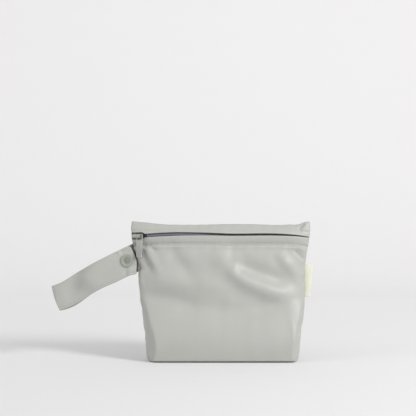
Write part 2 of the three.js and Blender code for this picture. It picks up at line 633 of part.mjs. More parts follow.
// The middle of the strap's cloth, out along the back layer, round the fold and home along the front layer
function strapPath() {
  const foldRadius = (spaceAt(1) + STRAP_THICKNESS) / 2;
  const turn = 1 - foldRadius / spineLength;
  const path = [];
  for (let i = 0; i <= STRAP_STEPS; i++) {
    const share = (turn * i) / STRAP_STEPS;
    path.push({ share, depth: backAt(share) });
  }
  for (let i = 1; i < FOLD_STEPS; i++) {
    const angle = (Math.PI * i) / FOLD_STEPS;
    path.push({
      share: turn + (foldRadius * Math.sin(angle)) / spineLength,
      depth: backAt(turn) - foldRadius * (1 - Math.cos(angle)),
    });
  }
  for (let i = 0; i <= STRAP_STEPS; i++) {
    const share = turn - ((turn - shareAt(STRAP_END)) * i) / STRAP_STEPS;
    path.push({ share, depth: frontAt(share) });
  }
  return path.map(({ share, depth }) => {
    const middle = strapSpine.getPointAt(share);
    const away = strapSpine.getTangentAt(share);
    return { centre: middle.setY(depth), across: new THREE.Vector3(away.z, 0, -away.x) };
  });
}

function strapSolid() {
  const path = strapPath();
  const frames = path.map(({ centre, across }, i) => {
    const before = path[Math.max(0, i - 1)].centre;
    const after = path[Math.min(path.length - 1, i + 1)].centre;
    const along = new THREE.Vector3().subVectors(after, before);
    const normal = new THREE.Vector3().crossVectors(along, across).normalize();
    const corner = (out, side) =>
      centre
        .clone()
        .addScaledVector(normal, (out * STRAP_THICKNESS) / 2)
        .addScaledVector(across, (side * STRAP_WIDTH) / 2);
    return [corner(-1, -1), corner(-1, 1), corner(1, 1), corner(1, -1)];
  });
  const pastEnd = box(strapRoot.x - CLEARANCE, FAR, -FAR, backAt(0) - STRAP_THICKNESS, -FAR, FAR);
  const pouchRoom = shellLoft([...levels, 1], CLOTH + CLEARANCE);
  return bar(frames).subtract(pastEnd).subtract(pouchRoom).subtract(snapHole());
}

// The snap, on an axis square to the front, with a cap outside each layer and stud and socket between them
const snapShare = shareAt(SNAP_PLACE);
const snapMiddle = strapSpine.getPointAt(snapShare);
const halfCloth = STRAP_THICKNESS / 2;
const seats = {
  backCap: backAt(snapShare) + halfCloth,
  stud: backAt(snapShare) - halfCloth,
  socket: frontAt(snapShare) + halfCloth,
  frontCap: frontAt(snapShare) - halfCloth,
};

function snapHole() {
  const radius = SNAP_POST_RADIUS + CLEARANCE;
  const hole = new THREE.CylinderGeometry(radius, radius, 2 * TOP_WIDTH, SNAP_SIDES);
  return solidOf(hole.translate(snapMiddle.x, 0, snapMiddle.z));
}

// A turned part of the snap from its profile of radii and heights, standing on a layer's face. way is 1 when it
// stands out backwards, -1 forwards.
function turned(profile, seat, way) {
  const points = profile.map(([radius, height]) => new THREE.Vector2(radius, height));
  const made = new THREE.LatheGeometry(points, SNAP_SIDES);
  if (way < 0) made.rotateX(Math.PI);
  return solidOf(made.translate(snapMiddle.x, seat, snapMiddle.z));
}

const postEnd = -STRAP_THICKNESS - SNAP_POST_STANDS;
const [capRim, capTop, dish] = [SNAP_CAP_RADIUS, SNAP_CAP_THICKNESS, SNAP_RECESS_RADIUS];
const CAP_PROFILE = [
  [0, postEnd],
  [SNAP_POST_RADIUS, postEnd],
  [SNAP_POST_RADIUS, CLEARANCE],
  [capRim - 0.5, CLEARANCE],
  [capRim, CLEARANCE + 0.4],
  [capRim, capTop - 0.7],
  [capRim - 0.35, capTop - 0.2],
  [capRim - 0.9, capTop],
  [dish + 0.4, capTop],
  [dish - 0.2, capTop - SNAP_RECESS_DEPTH],
  [0, capTop - SNAP_RECESS_DEPTH],
];
const postRoom = SNAP_POST_RADIUS + CLEARANCE;
const postRoof = SNAP_POST_STANDS + CLEARANCE;
const SOCKET_PROFILE = [
  [0, postRoof],
  [postRoom, postRoof],
  [postRoom, CLEARANCE],
  [SOCKET_RADIUS, CLEARANCE],
  [SOCKET_RADIUS, SOCKET_THICKNESS],
  [STUD_RADIUS + CLEARANCE, SOCKET_THICKNESS],
  [STUD_RADIUS + CLEARANCE, SOCKET_FLOOR],
  [0, SOCKET_FLOOR],
];
const studTop = spaceAt(snapShare) - SOCKET_FLOOR - CLEARANCE;
const studStep = spaceAt(snapShare) - SOCKET_THICKNESS - CLEARANCE;
const STUD_PROFILE = [
  [0, postRoof],
  [postRoom, postRoof],
  [postRoom, CLEARANCE],
  [SOCKET_RADIUS, CLEARANCE],
  [SOCKET_RADIUS, studStep],
  [STUD_RADIUS, studStep],
  [STUD_RADIUS, studTop],
  [0, studTop],
];

// The label, doubled over and caught in the right side seam
function labelSolid() {
  const steps = 8;
  const frames = [];
  for (let i = 0; i <= steps; i++) {
    const z = LABEL_TOP - (LABEL_HEIGHT * i) / steps;
    const seam = sectionAt(z / HEIGHT).right + CLEARANCE;
    const reach = LABEL_REACH - (LABEL_TAPER * i) / steps;
    const lean = -LABEL_LEAN * Math.sin((Math.PI * i) / steps);
    const half = LABEL_THICKNESS / 2;
    frames.push([
      new THREE.Vector3(seam, -half, z),
      new THREE.Vector3(seam + reach, lean - half, z),
      new THREE.Vector3(seam + reach, lean + half, z),
      new THREE.Vector3(seam, half, z),
    ]);
  }
  return bar(frames);
}

const laminated = new THREE.MeshStandardMaterial({ color: 0xb4b5ae, roughness: 0.62, metalness: 0 });
const tapeCloth = new THREE.MeshStandardMaterial({ color: 0x8f8f8d, roughness: 0.85, metalness: 0 });
const nylon = new THREE.MeshStandardMaterial({ color: 0x7f7f82, roughness: 0.5, metalness: 0 });
const lacquered = new THREE.MeshStandardMaterial({ color: 0x9b9b95, roughness: 0.45, metalness: 0.2 });
const snapPlastic = new THREE.MeshStandardMaterial({ color: 0x98a093, roughness: 0.4, metalness: 0 });
const labelCloth = new THREE.MeshStandardMaterial({ color: 0xeef0dc, roughness: 0.9, metalness: 0 });

function piece(name, solid, material) {
  const mesh = new THREE.Mesh(geometryOf(solid.simplify(SLIVER)), material);
  mesh.name = name;
  return mesh;
}

const pouch = new THREE.Group();
pouch.add(piece("front_base_panel", frontAndBase, laminated));
pouch.add(piece("back_panel", backPanel, laminated));
pouch.add(piece("top_band", topBand, laminated));

const slider = new THREE.Group();
slider.position.copy(sliderSeat);
slider.rotation.z = sliderTurn;
slider.add(piece("zip_slider", sliderSolid(), lacquered));
slider.add(piece("zip_pull", pullSolid(), lacquered));

const zip = new THREE.Group();
zip.add(piece("zip_tape_upper", tapeUpper, tapeCloth));
zip.add(piece("zip_tape_lower", tapeLower, tapeCloth));
zip.add(piece("zip_coil_upper", coilHalf(1), nylon));
zip.add(piece("zip_coil_lower", coilHalf(-1), nylon));
zip.add(slider);

const wristlet = new THREE.Group();
wristlet.add(piece("wrist_strap", strapSolid(), laminated));
wristlet.add(piece("snap_front_cap", turned(CAP_PROFILE, seats.frontCap, -1), snapPlastic));
wristlet.add(piece("snap_socket", turned(SOCKET_PROFILE, seats.socket, 1), snapPlastic));
wristlet.add(piece("snap_stud", turned(STUD_PROFILE, seats.stud, -1), snapPlastic));
wristlet.add(piece("snap_back_cap", turned(CAP_PROFILE, seats.backCap, 1), snapPlastic));

const wetBag = new THREE.Group();
wetBag.add(pouch, zip, wristlet);
wetBag.add(piece("side_label", labelSolid(), labelCloth));

export default wetBag;
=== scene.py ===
"""A small zipped wet bag of laminated knit, standing on its boxed base.

The pouch's cloth is worked out here as fine sheets close to the shape of its solids, with the smaller folds,
seams and stitching added. The zip's slider and pull and the strap's snap are modelled piece by piece.
Lengths in the tables below are millimetres; Blender's own are metres.
"""

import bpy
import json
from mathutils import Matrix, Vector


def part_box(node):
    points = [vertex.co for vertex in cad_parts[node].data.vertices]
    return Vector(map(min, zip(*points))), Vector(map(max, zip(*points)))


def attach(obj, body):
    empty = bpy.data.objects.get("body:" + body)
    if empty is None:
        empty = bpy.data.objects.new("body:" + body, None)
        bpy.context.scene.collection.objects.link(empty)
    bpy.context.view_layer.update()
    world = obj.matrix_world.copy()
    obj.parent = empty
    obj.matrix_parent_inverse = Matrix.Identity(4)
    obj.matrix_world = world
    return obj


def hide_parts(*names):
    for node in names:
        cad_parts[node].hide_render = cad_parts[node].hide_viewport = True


bl_info = {
    "name": "Wet Bag",
    "version": (1, 0, 0),
    "blender": (4, 5, 0),
    "location": "3D View > Sidebar > Wet Bag",
    "description": "Builds a zipped wet bag of laminated knit, its strap, snap and label, and its stage",
    "category": "Object",
}

import json
import math
from collections import namedtuple

import bmesh
import bpy
import numpy as np
from bpy.props import FloatProperty, FloatVectorProperty, PointerProperty
from bpy.types import Operator, Panel, PropertyGroup
from mathutils import Matrix, Vector

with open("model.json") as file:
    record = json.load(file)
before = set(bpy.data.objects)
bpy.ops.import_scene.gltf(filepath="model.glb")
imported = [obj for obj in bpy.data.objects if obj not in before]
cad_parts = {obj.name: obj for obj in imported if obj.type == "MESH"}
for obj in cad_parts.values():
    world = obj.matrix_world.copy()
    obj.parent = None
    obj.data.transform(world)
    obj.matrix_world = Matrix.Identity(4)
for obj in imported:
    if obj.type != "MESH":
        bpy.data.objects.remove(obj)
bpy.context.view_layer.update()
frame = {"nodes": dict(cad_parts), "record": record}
JOINT = frame["record"]["behaviour"]["joints"][0]  # the pull's swing on the slider

MM = 0.001

# Pouch, close to its solids
HALF_WIDTH = 89.0  # of the top seam
HEIGHT = 139.5
HALF_DEPTH = 17.0  # of the boxed base
CLOTH = 1.2  # from the inside of the cloth to the outside, seam allowance included
ZIP_DROP = 13.6
SLOT_WIDTH = 3.4
SEAM_GAP = 0.12  # from the side seam's middle to each panel's edge

Section = namedtuple("Section", "rise left right front back corner full gusset boxed")
SECTIONS = [
    Section(0.0, -0.838, 0.826, 0.97, 0.97, 9, 0.42, 0.05, 0.9),
    Section(0.03, -0.86, 0.845, 1.03, 1.0, 9, 0.42, 0.09, 0.9),
    Section(0.1, -0.872, 0.86, 1.12, 1.05, 8, 0.44, 0.12, 0.9),
    Section(0.19, -0.883, 0.876, 1.15, 1.1, 7, 0.46, 0.11, 0.85),
    Section(0.28, -0.899, 0.893, 1.07, 1.12, 6, 0.5, 0.085, 0.7),
    Section(0.37, -0.909, 0.909, 0.9, 1.11, 5, 0.55, 0.06, 0.35),
    Section(0.46, -0.921, 0.924, 0.78, 1.04, 4.2, 0.6, 0.06, 0),
    Section(0.55, -0.936, 0.928, 0.745, 0.94, 3.6, 0.64, 0.06, 0),
    Section(0.64, -0.948, 0.928, 0.74, 0.79, 3.2, 0.66, 0.06, 0),
    Section(0.73, -0.961, 0.928, 0.7, 0.62, 3.2, 0.64, 0.06, 0),
    Section(0.79, -0.982, 0.938, 0.61, 0.51, 3.6, 0.59, 0.06, 0),
    Section(0.825, -1.004, 0.947, 0.53, 0.445, 4.2, 0.54, 0.06, 0),
    Section(0.842, -1.01, 0.954, 0.44, 0.415, 4.7, 0.51, 0.06, 0),
    Section(0.888, -1.021, 0.963, 0.395, 0.33, 5, 0.5, 0.06, 0),
    Section(0.93, -1.03, 0.972, 0.35, 0.25, 5, 0.5, 0.06, 0),
    Section(0.965, -1.033, 0.975, 0.225, 0.17, 4.5, 0.55, 0.06, 0),
    Section(1.0, -1.028, 0.973, 0.13, 0.1, 4, 0.6, 0.06, 0),
]
RIGHT_GUSSET = 0.7
CREASE_SOFTNESS = 0.3

Sag = namedtuple("Sag", "at drop")
TOP_SAG = [
    Sag(-1.04, 0.0),
    Sag(-0.89, 0.01),
    Sag(-0.73, 0.022),
    Sag(-0.58, 0.0285),
    Sag(-0.2, 0.0285),
    Sag(0.08, 0.0237),
    Sag(0.38, 0.026),
    Sag(0.6, 0.0305),
    Sag(0.75, 0.0275),
    Sag(0.84, 0.0255),
    Sag(0.91, 0.007),
    Sag(0.98, 0.006),
]
SAG_START = 0.93

Zip = namedtuple("Zip", "at lift gap")
ZIP_LINE = [
    Zip(-1.04, -0.011, 1.0),
    Zip(-0.88, -0.008, 1.0),
    Zip(-0.58, 0.0022, 1.0),
    Zip(-0.2, 0.0025, 0.76),
    Zip(0.08, -0.0018, 0.58),
    Zip(0.53, 0.0004, 0.55),
    Zip(0.8, -0.0065, 0.36),
    Zip(0.94, -0.018, 0.14),
    Zip(1.0, -0.02, 0.1),
]

# The main folds of the front cloth, near those of its solid. x is a share of half the width and z of the
# height; reach and height are shares of half the depth.
Fold = namedtuple("Fold", "x0 z0 xb zb x1 z1 reach height")
FOLDS = [
    Fold(0.05, 0.7, 0.15, 0.54, 0.85, 0.462, 0.5, 0.23),
    Fold(0.02, 0.6, 0.12, 0.44, 0.62, 0.4, 0.5, -0.07),
    Fold(0.12, 0.7, 0.38, 0.63, 0.78, 0.56, 0.5, -0.19),
    Fold(0.64, 0.74, 0.76, 0.66, 0.92, 0.53, 0.36, 0.16),
    Fold(0.8, 0.81, 0.86, 0.78, 0.9, 0.74, 0.16, 0.06),
    Fold(-0.9, 0.8, -0.78, 0.76, -0.71, 0.6, 0.3, 0.15),
    Fold(-0.92, 0.45, -0.6, 0.46, -0.2, 0.375, 0.55, -0.19),
    Fold(-0.2, 0.375, 0.25, 0.33, 0.76, 0.43, 0.6, -0.13),
    Fold(-0.9, 0.58, -0.5, 0.585, 0.06, 0.53, 0.55, 0.13),
    Fold(-0.6, 0.82, -0.5, 0.7, -0.32, 0.56, 0.45, -0.09),
    Fold(0.14, 0.82, 0.2, 0.76, 0.3, 0.7, 0.3, -0.03),
    Fold(-0.6, 0.77, -0.2, 0.8, 0.1, 0.76, 1.0, 0.15),
]
FOLD_END_FADE = 0.22

# Strap, close to its solid
STRAP_WIDTH = 26.0
STRAP_THICKNESS = 1.6
STRAP_STITCH = 10.8  # its middle line to each topstitched line
STRAP_REACH = 93.0
STRAP_HEIGHT = 104.6  # where its middle line meets the side seam
STRAP_END = 1.6  # side seam to the free end, along the strap
STRAP_SEWN = 2.8  # past the side seam, where the strap is sewn in
STRAP_CLEAR = 0.6  # at least, from the side seam to the free end
FOLD_SLANT = 0.15  # the fold stands steeper than square to the strap
ROOT_TUCK = 5.5  # of the back layer, backwards beside the side seam
END_TUCK = 1.2  # of the free end, backwards to clear the pull
SNAP_STACK = 3.6
StrapLine = namedtuple("StrapLine", "out down")
STRAP_LINE = [
    StrapLine(-0.09, -0.042),
    StrapLine(0.17, 0.081),
    StrapLine(0.385, 0.19),
    StrapLine(0.575, 0.3),
    StrapLine(0.735, 0.394),
    StrapLine(0.882, 0.459),
]
StrapLayer = namedtuple("StrapLayer", "along back space")
STRAP_LAYERS = [
    StrapLayer(0.0, 0.0, 1.0),
    StrapLayer(0.12, 0.12, 1.0),
    StrapLayer(0.21, 0.13, 1.0),
    StrapLayer(0.3, 0.12, 1.0),
    StrapLayer(0.42, -0.1, 0.55),
    StrapLayer(0.58, 0.1, 0.35),
    StrapLayer(0.78, 0.8, 0.62),
    StrapLayer(0.92, 1.35, 0.82),
    StrapLayer(1.0, 1.7, 0.75),
]

# Zip, close to its solids
COIL_WIDTH = 4.0
TAPE_SEAT = 0.5  # between the cloth and what lies behind it
TAPE_THICKNESS = 0.7
TAPE_WIDTH_UPPER = 4.2
TAPE_WIDTH_LOWER = 5.6
ZIP_INSET = 5.0
TAPE_NOTCH = 14.0
PLATE_LEFT, PLATE_RIGHT = -7.3, 2.1  # of the slider's top plate, from the pull's pivot
PLATE_WIDTH = 3.9
PLATE_THICKNESS = 1.2
PULL_MIDDLE = -1.05  # in front of the plate's face
NECK_DEPTH = 4.9  # from the plate's face to the foot


def between(rows, key, column, at):
    """A column of a table at keys between its rows, by cubic interpolation through the rows."""
    keys = np.array([getattr(row, key) for row in rows], float)
    values = np.array([getattr(row, column) for row in rows], float)
    last = len(rows) - 1
    before, after = np.maximum(np.arange(last + 1) - 1, 0), np.minimum(np.arange(last + 1) + 1, last)
    slopes = (values[after] - values[before]) / (keys[after] - keys[before])
    i = np.clip(np.searchsorted(keys, at, side="right") - 1, 0, last - 1)
    span = keys[i + 1] - keys[i]
    t = np.clip((at - keys[i]) / span, 0, 1)
    return (
        (2 * t**3 - 3 * t**2 + 1) * values[i]
        + (t**3 - 2 * t**2 + t) * span * slopes[i]
        + (3 * t**2 - 2 * t**3) * values[i + 1]
        + (t**3 - t**2) * span * slopes[i + 1]
    )


def smooth(t):
    t = np.clip(t, 0, 1)
    return t * t * (3 - 2 * t)


def bell(distance, width):
    """1 at no distance, falling away over a width."""
    return np.exp(-((distance / width) ** 2))


def unit(vectors):
    return vectors / np.linalg.norm(vectors, axis=-1, keepdims=True)


def travel(points):
    """Length travelled from the first row of points to each row."""
    steps = np.linalg.norm(np.diff(points, axis=0), axis=-1)
    return np.concatenate([np.zeros_like(steps[:1]), np.cumsum(steps, axis=0)])


def bezier(points, steps):
    """Points of a quadratic curve, as rows of x and z."""
    t = np.linspace(0, 1, steps + 1)[:, None]
    a, b, c = (np.array(p, float) for p in points)
    return (1 - t) ** 2 * a + 2 * t * (1 - t) * b + t**2 * c


def off_curve(path, x, z):
    """For each place: its distance from a path, the share of the path it lies by, and its side (+1 left)."""
    nearest = np.full(np.shape(x), np.inf)
    along, side = np.zeros(np.shape(x)), np.ones(np.shape(x))
    for i in range(len(path) - 1):
        (ax, az), (dx, dz) = path[i], path[i + 1] - path[i]
        t = np.clip(((x - ax) * dx + (z - az) * dz) / (dx * dx + dz * dz), 0, 1)
        away = np.hypot(x - ax - t * dx, z - az - t * dz)
        closer = away < nearest
        nearest = np.where(closer, away, nearest)
        along = np.where(closer, (i + t) / (len(path) - 1), along)
        side = np.where(closer, np.sign(dx * (z - az) - dz * (x - ax)), side)
    return nearest, along, side


def main_lift(x, z):
    lift = np.zeros(np.shape(x))
    for fold in FOLDS:
        ends = [(fold.x0, fold.z0), (fold.xb, fold.zb), (fold.x1, fold.z1)]
        path = bezier([(px * HALF_WIDTH, pz * HEIGHT) for px, pz in ends], 10)
        away, along, _ = off_curve(path, x, z)
        fade = 0.35 + 0.65 * smooth(np.minimum(along, 1 - along) / FOLD_END_FADE)
        lift += fold.height * HALF_DEPTH * fade * bell(away, fold.reach * HALF_DEPTH)
    return lift


def sag_at(x, rise):
    near_top = smooth((rise - SAG_START) / (1 - SAG_START))
    return between(TOP_SAG, "at", "drop", x / HALF_WIDTH) * HEIGHT * near_top


def zip_height(x):
    return HEIGHT - ZIP_DROP + between(ZIP_LINE, "at", "lift", x / HALF_WIDTH) * HEIGHT


def slot_at(x):
    """Gap between the lips, which part round the slider."""
    parted = 3.2 * smooth((-76.5 - x) / 3.5) * smooth((x + 93) / 2.5)
    return np.maximum(0.3, between(ZIP_LINE, "at", "gap", x / HALF_WIDTH) * SLOT_WIDTH) + parted


def rise_at(x, z):
    """The share of HEIGHT whose section passes through a height at x, the sag of the top seam included."""
    rise = z / HEIGHT
    for _ in range(12):
        rise = (z + sag_at(x, rise)) / HEIGHT
    return rise


def seam_x(side, rise):
    """Where the left or the right side seam is, at shares of the height."""
    return between(SECTIONS, "rise", side, rise) * HALF_WIDTH


def inside(u, rise, front):
    """Points of the inside of the cloth, at shares u between the side seams and shares of the height."""
    column = {name: between(SECTIONS, "rise", name, rise) for name in Section._fields[1:]}
    left, right = column["left"] * HALF_WIDTH, column["right"] * HALF_WIDTH
    x = (left + right) / 2 + ((right - left) / 2 - CLOTH) * u
    rounded = np.maximum(0, 1 - np.abs(u) ** column["corner"]) ** column["full"]
    slant = (1 - np.abs(u)) / (column["gusset"] * np.where(u > 0, RIGHT_GUSSET, 1))
    past = np.maximum(0, slant - 1 + CREASE_SOFTNESS)
    folded = np.where(slant > 1 + CREASE_SOFTNESS, 1, slant - past**2 / (4 * CREASE_SOFTNESS))
    fullness = rounded + (folded - rounded) * np.maximum(0, column["boxed"])
    if front:
        lift = main_lift(x, rise * HEIGHT) * (1 - u**6)
        depth = (column["front"] * HALF_DEPTH - CLOTH) * fullness
        y = -np.maximum(0, depth + lift * np.minimum(1, fullness * 2))
    else:
        y = (column["back"] * HALF_DEPTH - CLOTH) * fullness
    return np.stack([x, y, rise * HEIGHT - sag_at(x, rise)], axis=-1)


def normals_of(grid, front=True):
    """Unit normals of a grid of points: rows upwards and columns to the right, seen from the front."""
    across, up = np.gradient(grid, axis=1), np.gradient(grid, axis=0)
    normal = np.cross(across, up) if front else np.cross(up, across)
    return normal / np.maximum(np.linalg.norm(normal, axis=-1, keepdims=True), 1e-9)


def spread(count, evenness=0.12):
    """Shares from -1 to 1, closer together towards both ends."""
    t = np.linspace(-1, 1, count)
    return (1 - evenness) * np.sin(np.pi * t / 2) + evenness * t


# Materials


def linear(hex_colour):
    """An sRGB hex value as linear red, green and blue."""
    channels = [int(hex_colour[i : i + 2], 16) / 255 for i in (1, 3, 5)]
    return tuple(c / 12.92 if c <= 0.04045 else ((c + 0.055) / 1.055) ** 2.4 for c in channels)


def shaded(colour, share=1.0):
    """A linear colour made darker or lighter, with its alpha."""
    return (*(c * share for c in colour), 1)


def add_node(tree, kind, inputs=None, **settings):
    """Adds a node with its settings, and with its inputs set to values or linked to other nodes' outputs."""
    node = tree.nodes.new(kind)
    for name, value in settings.items():
        setattr(node, name, value)
    for name, value in (inputs or {}).items():
        if isinstance(value, bpy.types.NodeSocket):
            tree.links.new(value, node.inputs[name])
        else:
            node.inputs[name].default_value = value
    return node


def noise(tree, place, scale, detail, roughness=0.5):
    inputs = {"Vector": place, "Scale": scale, "Detail": detail, "Roughness": roughness}
    return add_node(tree, "ShaderNodeTexNoise", inputs).outputs["Fac"]


def bands(tree, place, scale, direction, distortion=0.0, **more):
    inputs = {"Vector": place, "Scale": scale, "Distortion": distortion, **more}
    node = add_node(tree, "ShaderNodeTexWave", inputs, wave_type="BANDS", bands_direction=direction)
    return node.outputs["Fac"]


def mix(tree, factor, a, b, **settings):
    inputs = {"Factor": factor, "A": a, "B": b}
    return add_node(tree, "ShaderNodeMix", inputs, data_type="RGBA", **settings).outputs["Result"]


def bump(tree, strength, distance, height, **more):
    inputs = {"Strength": strength, "Distance": distance, "Height": height, **more}
    return add_node(tree, "ShaderNodeBump", inputs).outputs["Normal"]


def remap(tree, value, **limits):
    """A value between limits, named as the node's inputs with underscores for spaces."""
    inputs = {"Value": value, **{name.replace("_", " "): limit for name, limit in limits.items()}}
    return add_node(tree, "ShaderNodeMapRange", inputs).outputs["Result"]


def arithmetic(tree, kind, operation, *values):
    """The node of a sum on numbers ("Math") or on vectors ("VectorMath")."""
    return add_node(tree, "ShaderNode" + kind, dict(enumerate(values)), operation=operation)


def object_place(tree):
    return add_node(tree, "ShaderNodeTexCoord").outputs["Object"]


def cloth_map(tree):
    return add_node(tree, "ShaderNodeUVMap", uv_map="cloth").outputs["UV"]


def new_material(name):
    material = bpy.data.materials.get(name) or bpy.data.materials.new(name)
    material.use_nodes = True
    material.node_tree.nodes.clear()
    return material, material.node_tree


def finish_material(tree, inputs):
    shader = add_node(tree, "ShaderNodeBsdfPrincipled", inputs)
    add_node(tree, "ShaderNodeOutputMaterial", {"Surface": shader.outputs["BSDF"]})


UV_LENGTH = 100 * MM  # one unit of the cloth's UV maps


def ridge_scale(pitch):
    """The wave texture's scale for ridges at a pitch in metres, on the cloth's UV map."""
    return math.pi / 10 / (pitch / UV_LENGTH)


def laminated_knit():
    """Polyester interlock knit with a film on its back: fine upright wales and a soft satin shine."""
    cloth = bpy.context.scene.wet_bag_cloth
    material, tree = new_material("laminated_knit")
    uv, place = cloth_map(tree), object_place(tree)
    # Real wales are 0.6 mm apart; they are drawn at wale_pitch so that they show at all.
    scale = ridge_scale(cloth.wale_pitch)
    wales = bands(tree, uv, scale, "X", 0.6, **{"Detail": 1.0, "Detail Scale": 2.0})
    courses = bands(tree, uv, scale * 1.4, "Y", 0.5, Detail=1.0)
    knit = arithmetic(tree, "Math", "MULTIPLY", wales, courses).outputs["Value"]
    cockle = noise(tree, place, 190.0, 3.0, 0.55)
    shade = noise(tree, place, 16.0, 2.0)
    tint = mix(tree, shade, shaded(cloth.shade_colour), shaded(cloth.colour))
    # Painted shade: the knit's valleys are painted a little darker than its wales, as shade falls in them.
    painted_valley_shade = mix(tree, 0.07, tint, knit, blend_type="OVERLAY")
    weave = bump(tree, 0.22, 0.00012, knit)
    finish_material(
        tree,
        {
            "Base Color": painted_valley_shade,
            "Roughness": remap(tree, cockle, To_Min=cloth.roughness - 0.05, To_Max=cloth.roughness + 0.07),
            "IOR": 1.45,
            "Specular IOR Level": 0.5,
            "Sheen Weight": 0.12,
            "Sheen Roughness": 0.4,
            "Normal": bump(tree, 0.3, 0.0004, cockle, Normal=weave),
        },
    )
    return material


def spun_thread():
    """Two-ply polyester sewing thread in the cloth's colours, with its twist as fine slanting ridges."""
    cloth = bpy.context.scene.wet_bag_cloth
    material, tree = new_material("spun_thread")
    inputs = {"Vector": object_place(tree), "Rotation": (0.4, 0.6, 0.5)}
    turned = add_node(tree, "ShaderNodeMapping", inputs).outputs["Vector"]
    # Painted shade: the thread is painted in the darker shade colour along the grooves of its twist.
    twist = bands(tree, turned, 900.0, "DIAGONAL", 0.4)
    finish_material(
        tree,
        {
            "Base Color": mix(tree, twist, shaded(cloth.shade_colour), shaded(cloth.colour)),
            "Roughness": 0.6,
            "Sheen Weight": 0.2,
            "Normal": bump(tree, 0.4, 0.0001, twist),
        },
    )
    return material


def woven_tape():
    """Polyester zip tape, woven in slanting ribs 0.8 mm apart, matt."""
    zips = bpy.context.scene.wet_bag_zip
    material, tree = new_material("woven_tape")
    ribs = bands(tree, cloth_map(tree), ridge_scale(0.8 * MM), "DIAGONAL", 0.3)
    # Painted shade: the tape is painted darker between its ribs, where shade falls.
    colour = mix(tree, ribs, shaded(zips.tape_colour, 0.72), shaded(zips.tape_colour))
    finish_material(tree, {"Base Color": colour, "Roughness": 0.85, "Normal": bump(tree, 0.5, 0.0002, ribs)})
    return material


def drawn_nylon():
    """Nylon monofilament, drawn and wound: even, faintly streaked, with a soft gloss."""
    zips = bpy.context.scene.wet_bag_zip
    material, tree = new_material("drawn_nylon")
    streaks = noise(tree, object_place(tree), 900.0, 1.0)
    colour = mix(tree, streaks, shaded(zips.coil_colour, 0.8), shaded(zips.coil_colour, 1.2))
    finish_material(tree, {"Base Color": colour, "Roughness": 0.38, "IOR": 1.53})
    return material


def lacquered_zinc():
    """Die-cast zinc under grey lacquer: a thin gloss coat over an uneven casting, with a painted highlight
    that makes its sharp edges paler.
    """
    zips = bpy.context.scene.wet_bag_zip
    material, tree = new_material("lacquered_zinc")
    grain = noise(tree, object_place(tree), 700.0, 3.0, 0.6)
    # Painted highlight: sharp edges, found by their pointiness, are painted paler, as light catches them.
    pointed = add_node(tree, "ShaderNodeNewGeometry").outputs["Pointiness"]
    edges = remap(tree, pointed, From_Min=0.52, From_Max=0.62, To_Max=0.5)
    base = mix(tree, grain, shaded(zips.slider_colour, 0.9), shaded(zips.slider_colour, 1.08))
    finish_material(
        tree,
        {
            "Base Color": mix(tree, edges, base, shaded(linear("#c9c9c4"))),
            "Metallic": 0.25,
            "Roughness": 0.36,
            "Coat Weight": 0.4,
            "Coat Roughness": 0.15,
            "Normal": bump(tree, 0.12, 0.0001, grain),
        },
    )
    return material


def moulded_acetal():
    """Injection-moulded acetal: smooth and slightly waxy, with a fine spark-eroded grain."""
    strap = bpy.context.scene.wet_bag_strap
    material, tree = new_material("moulded_acetal")
    place = object_place(tree)
    # Painted light: the sweep is painted darker near the camera and paler further back, to even out how the
    # lamps light it.
    grain = noise(tree, place, 1500.0, 2.0)
    cloudy = noise(tree, place, 120.0, 1.0)
    colour = mix(tree, cloudy, shaded(strap.snap_colour, 0.94), shaded(strap.snap_colour, 1.05))
    # Painted shade: the dished centre is painted darker, as shade falls in its hollow.
    low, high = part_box("snap_front_cap")
    middle = [-(a + b) / 2 for a, b in zip(low, high)]
    centred = arithmetic(tree, "VectorMath", "ADD", place, middle).outputs["Vector"]
    flat = arithmetic(tree, "VectorMath", "MULTIPLY", centred, (1, 0, 1)).outputs["Vector"]
    reach = arithmetic(tree, "VectorMath", "LENGTH", flat).outputs["Value"]
    painted_dish_shade = remap(tree, reach, From_Min=2.9 * MM, From_Max=3.9 * MM, To_Min=1, To_Max=0)
    finish_material(
        tree,
        {
            "Base Color": mix(tree, painted_dish_shade, colour, shaded(strap.snap_colour, 0.72)),
            "Roughness": 0.33,
            "IOR": 1.48,
            "Subsurface Weight": 0.05,
            "Subsurface Scale": 0.001,
            "Normal": bump(tree, 0.1, 0.00005, grain),
        },
    )
    return material


def label_cotton():
    """Cotton label tape: a plain weave of cream threads, matt."""
    strap = bpy.context.scene.wet_bag_strap
    material, tree = new_material("label_cotton")
    uv = cloth_map(tree)
    scale = ridge_scale(0.7 * MM)  # real threads are 0.35 mm apart
    warp, weft = (bands(tree, uv, scale, direction) for direction in "XY")
    weave = arithmetic(tree, "Math", "MAXIMUM", warp, weft).outputs["Value"]
    # Painted shade: the label is painted darker in the gaps between its threads.
    colour = mix(tree, weave, shaded(strap.label_colour, 0.86), shaded(strap.label_colour))
    finish_material(tree, {"Base Color": colour, "Roughness": 0.9, "Normal": bump(tree, 0.5, 0.00015, weave)})
    return material


# Making pieces


def link(obj):
    bpy.context.scene.collection.objects.link(obj)
    return obj


def wear(piece, material, slot, body, *nodes):
    """Gives a finished piece its material, puts it on the body it rides on and hides the nodes it stands for.
    """
    piece.data.materials.clear()
    piece.data.materials.append(material)
    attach(piece, body)
    if nodes:
        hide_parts(*nodes)
    return piece


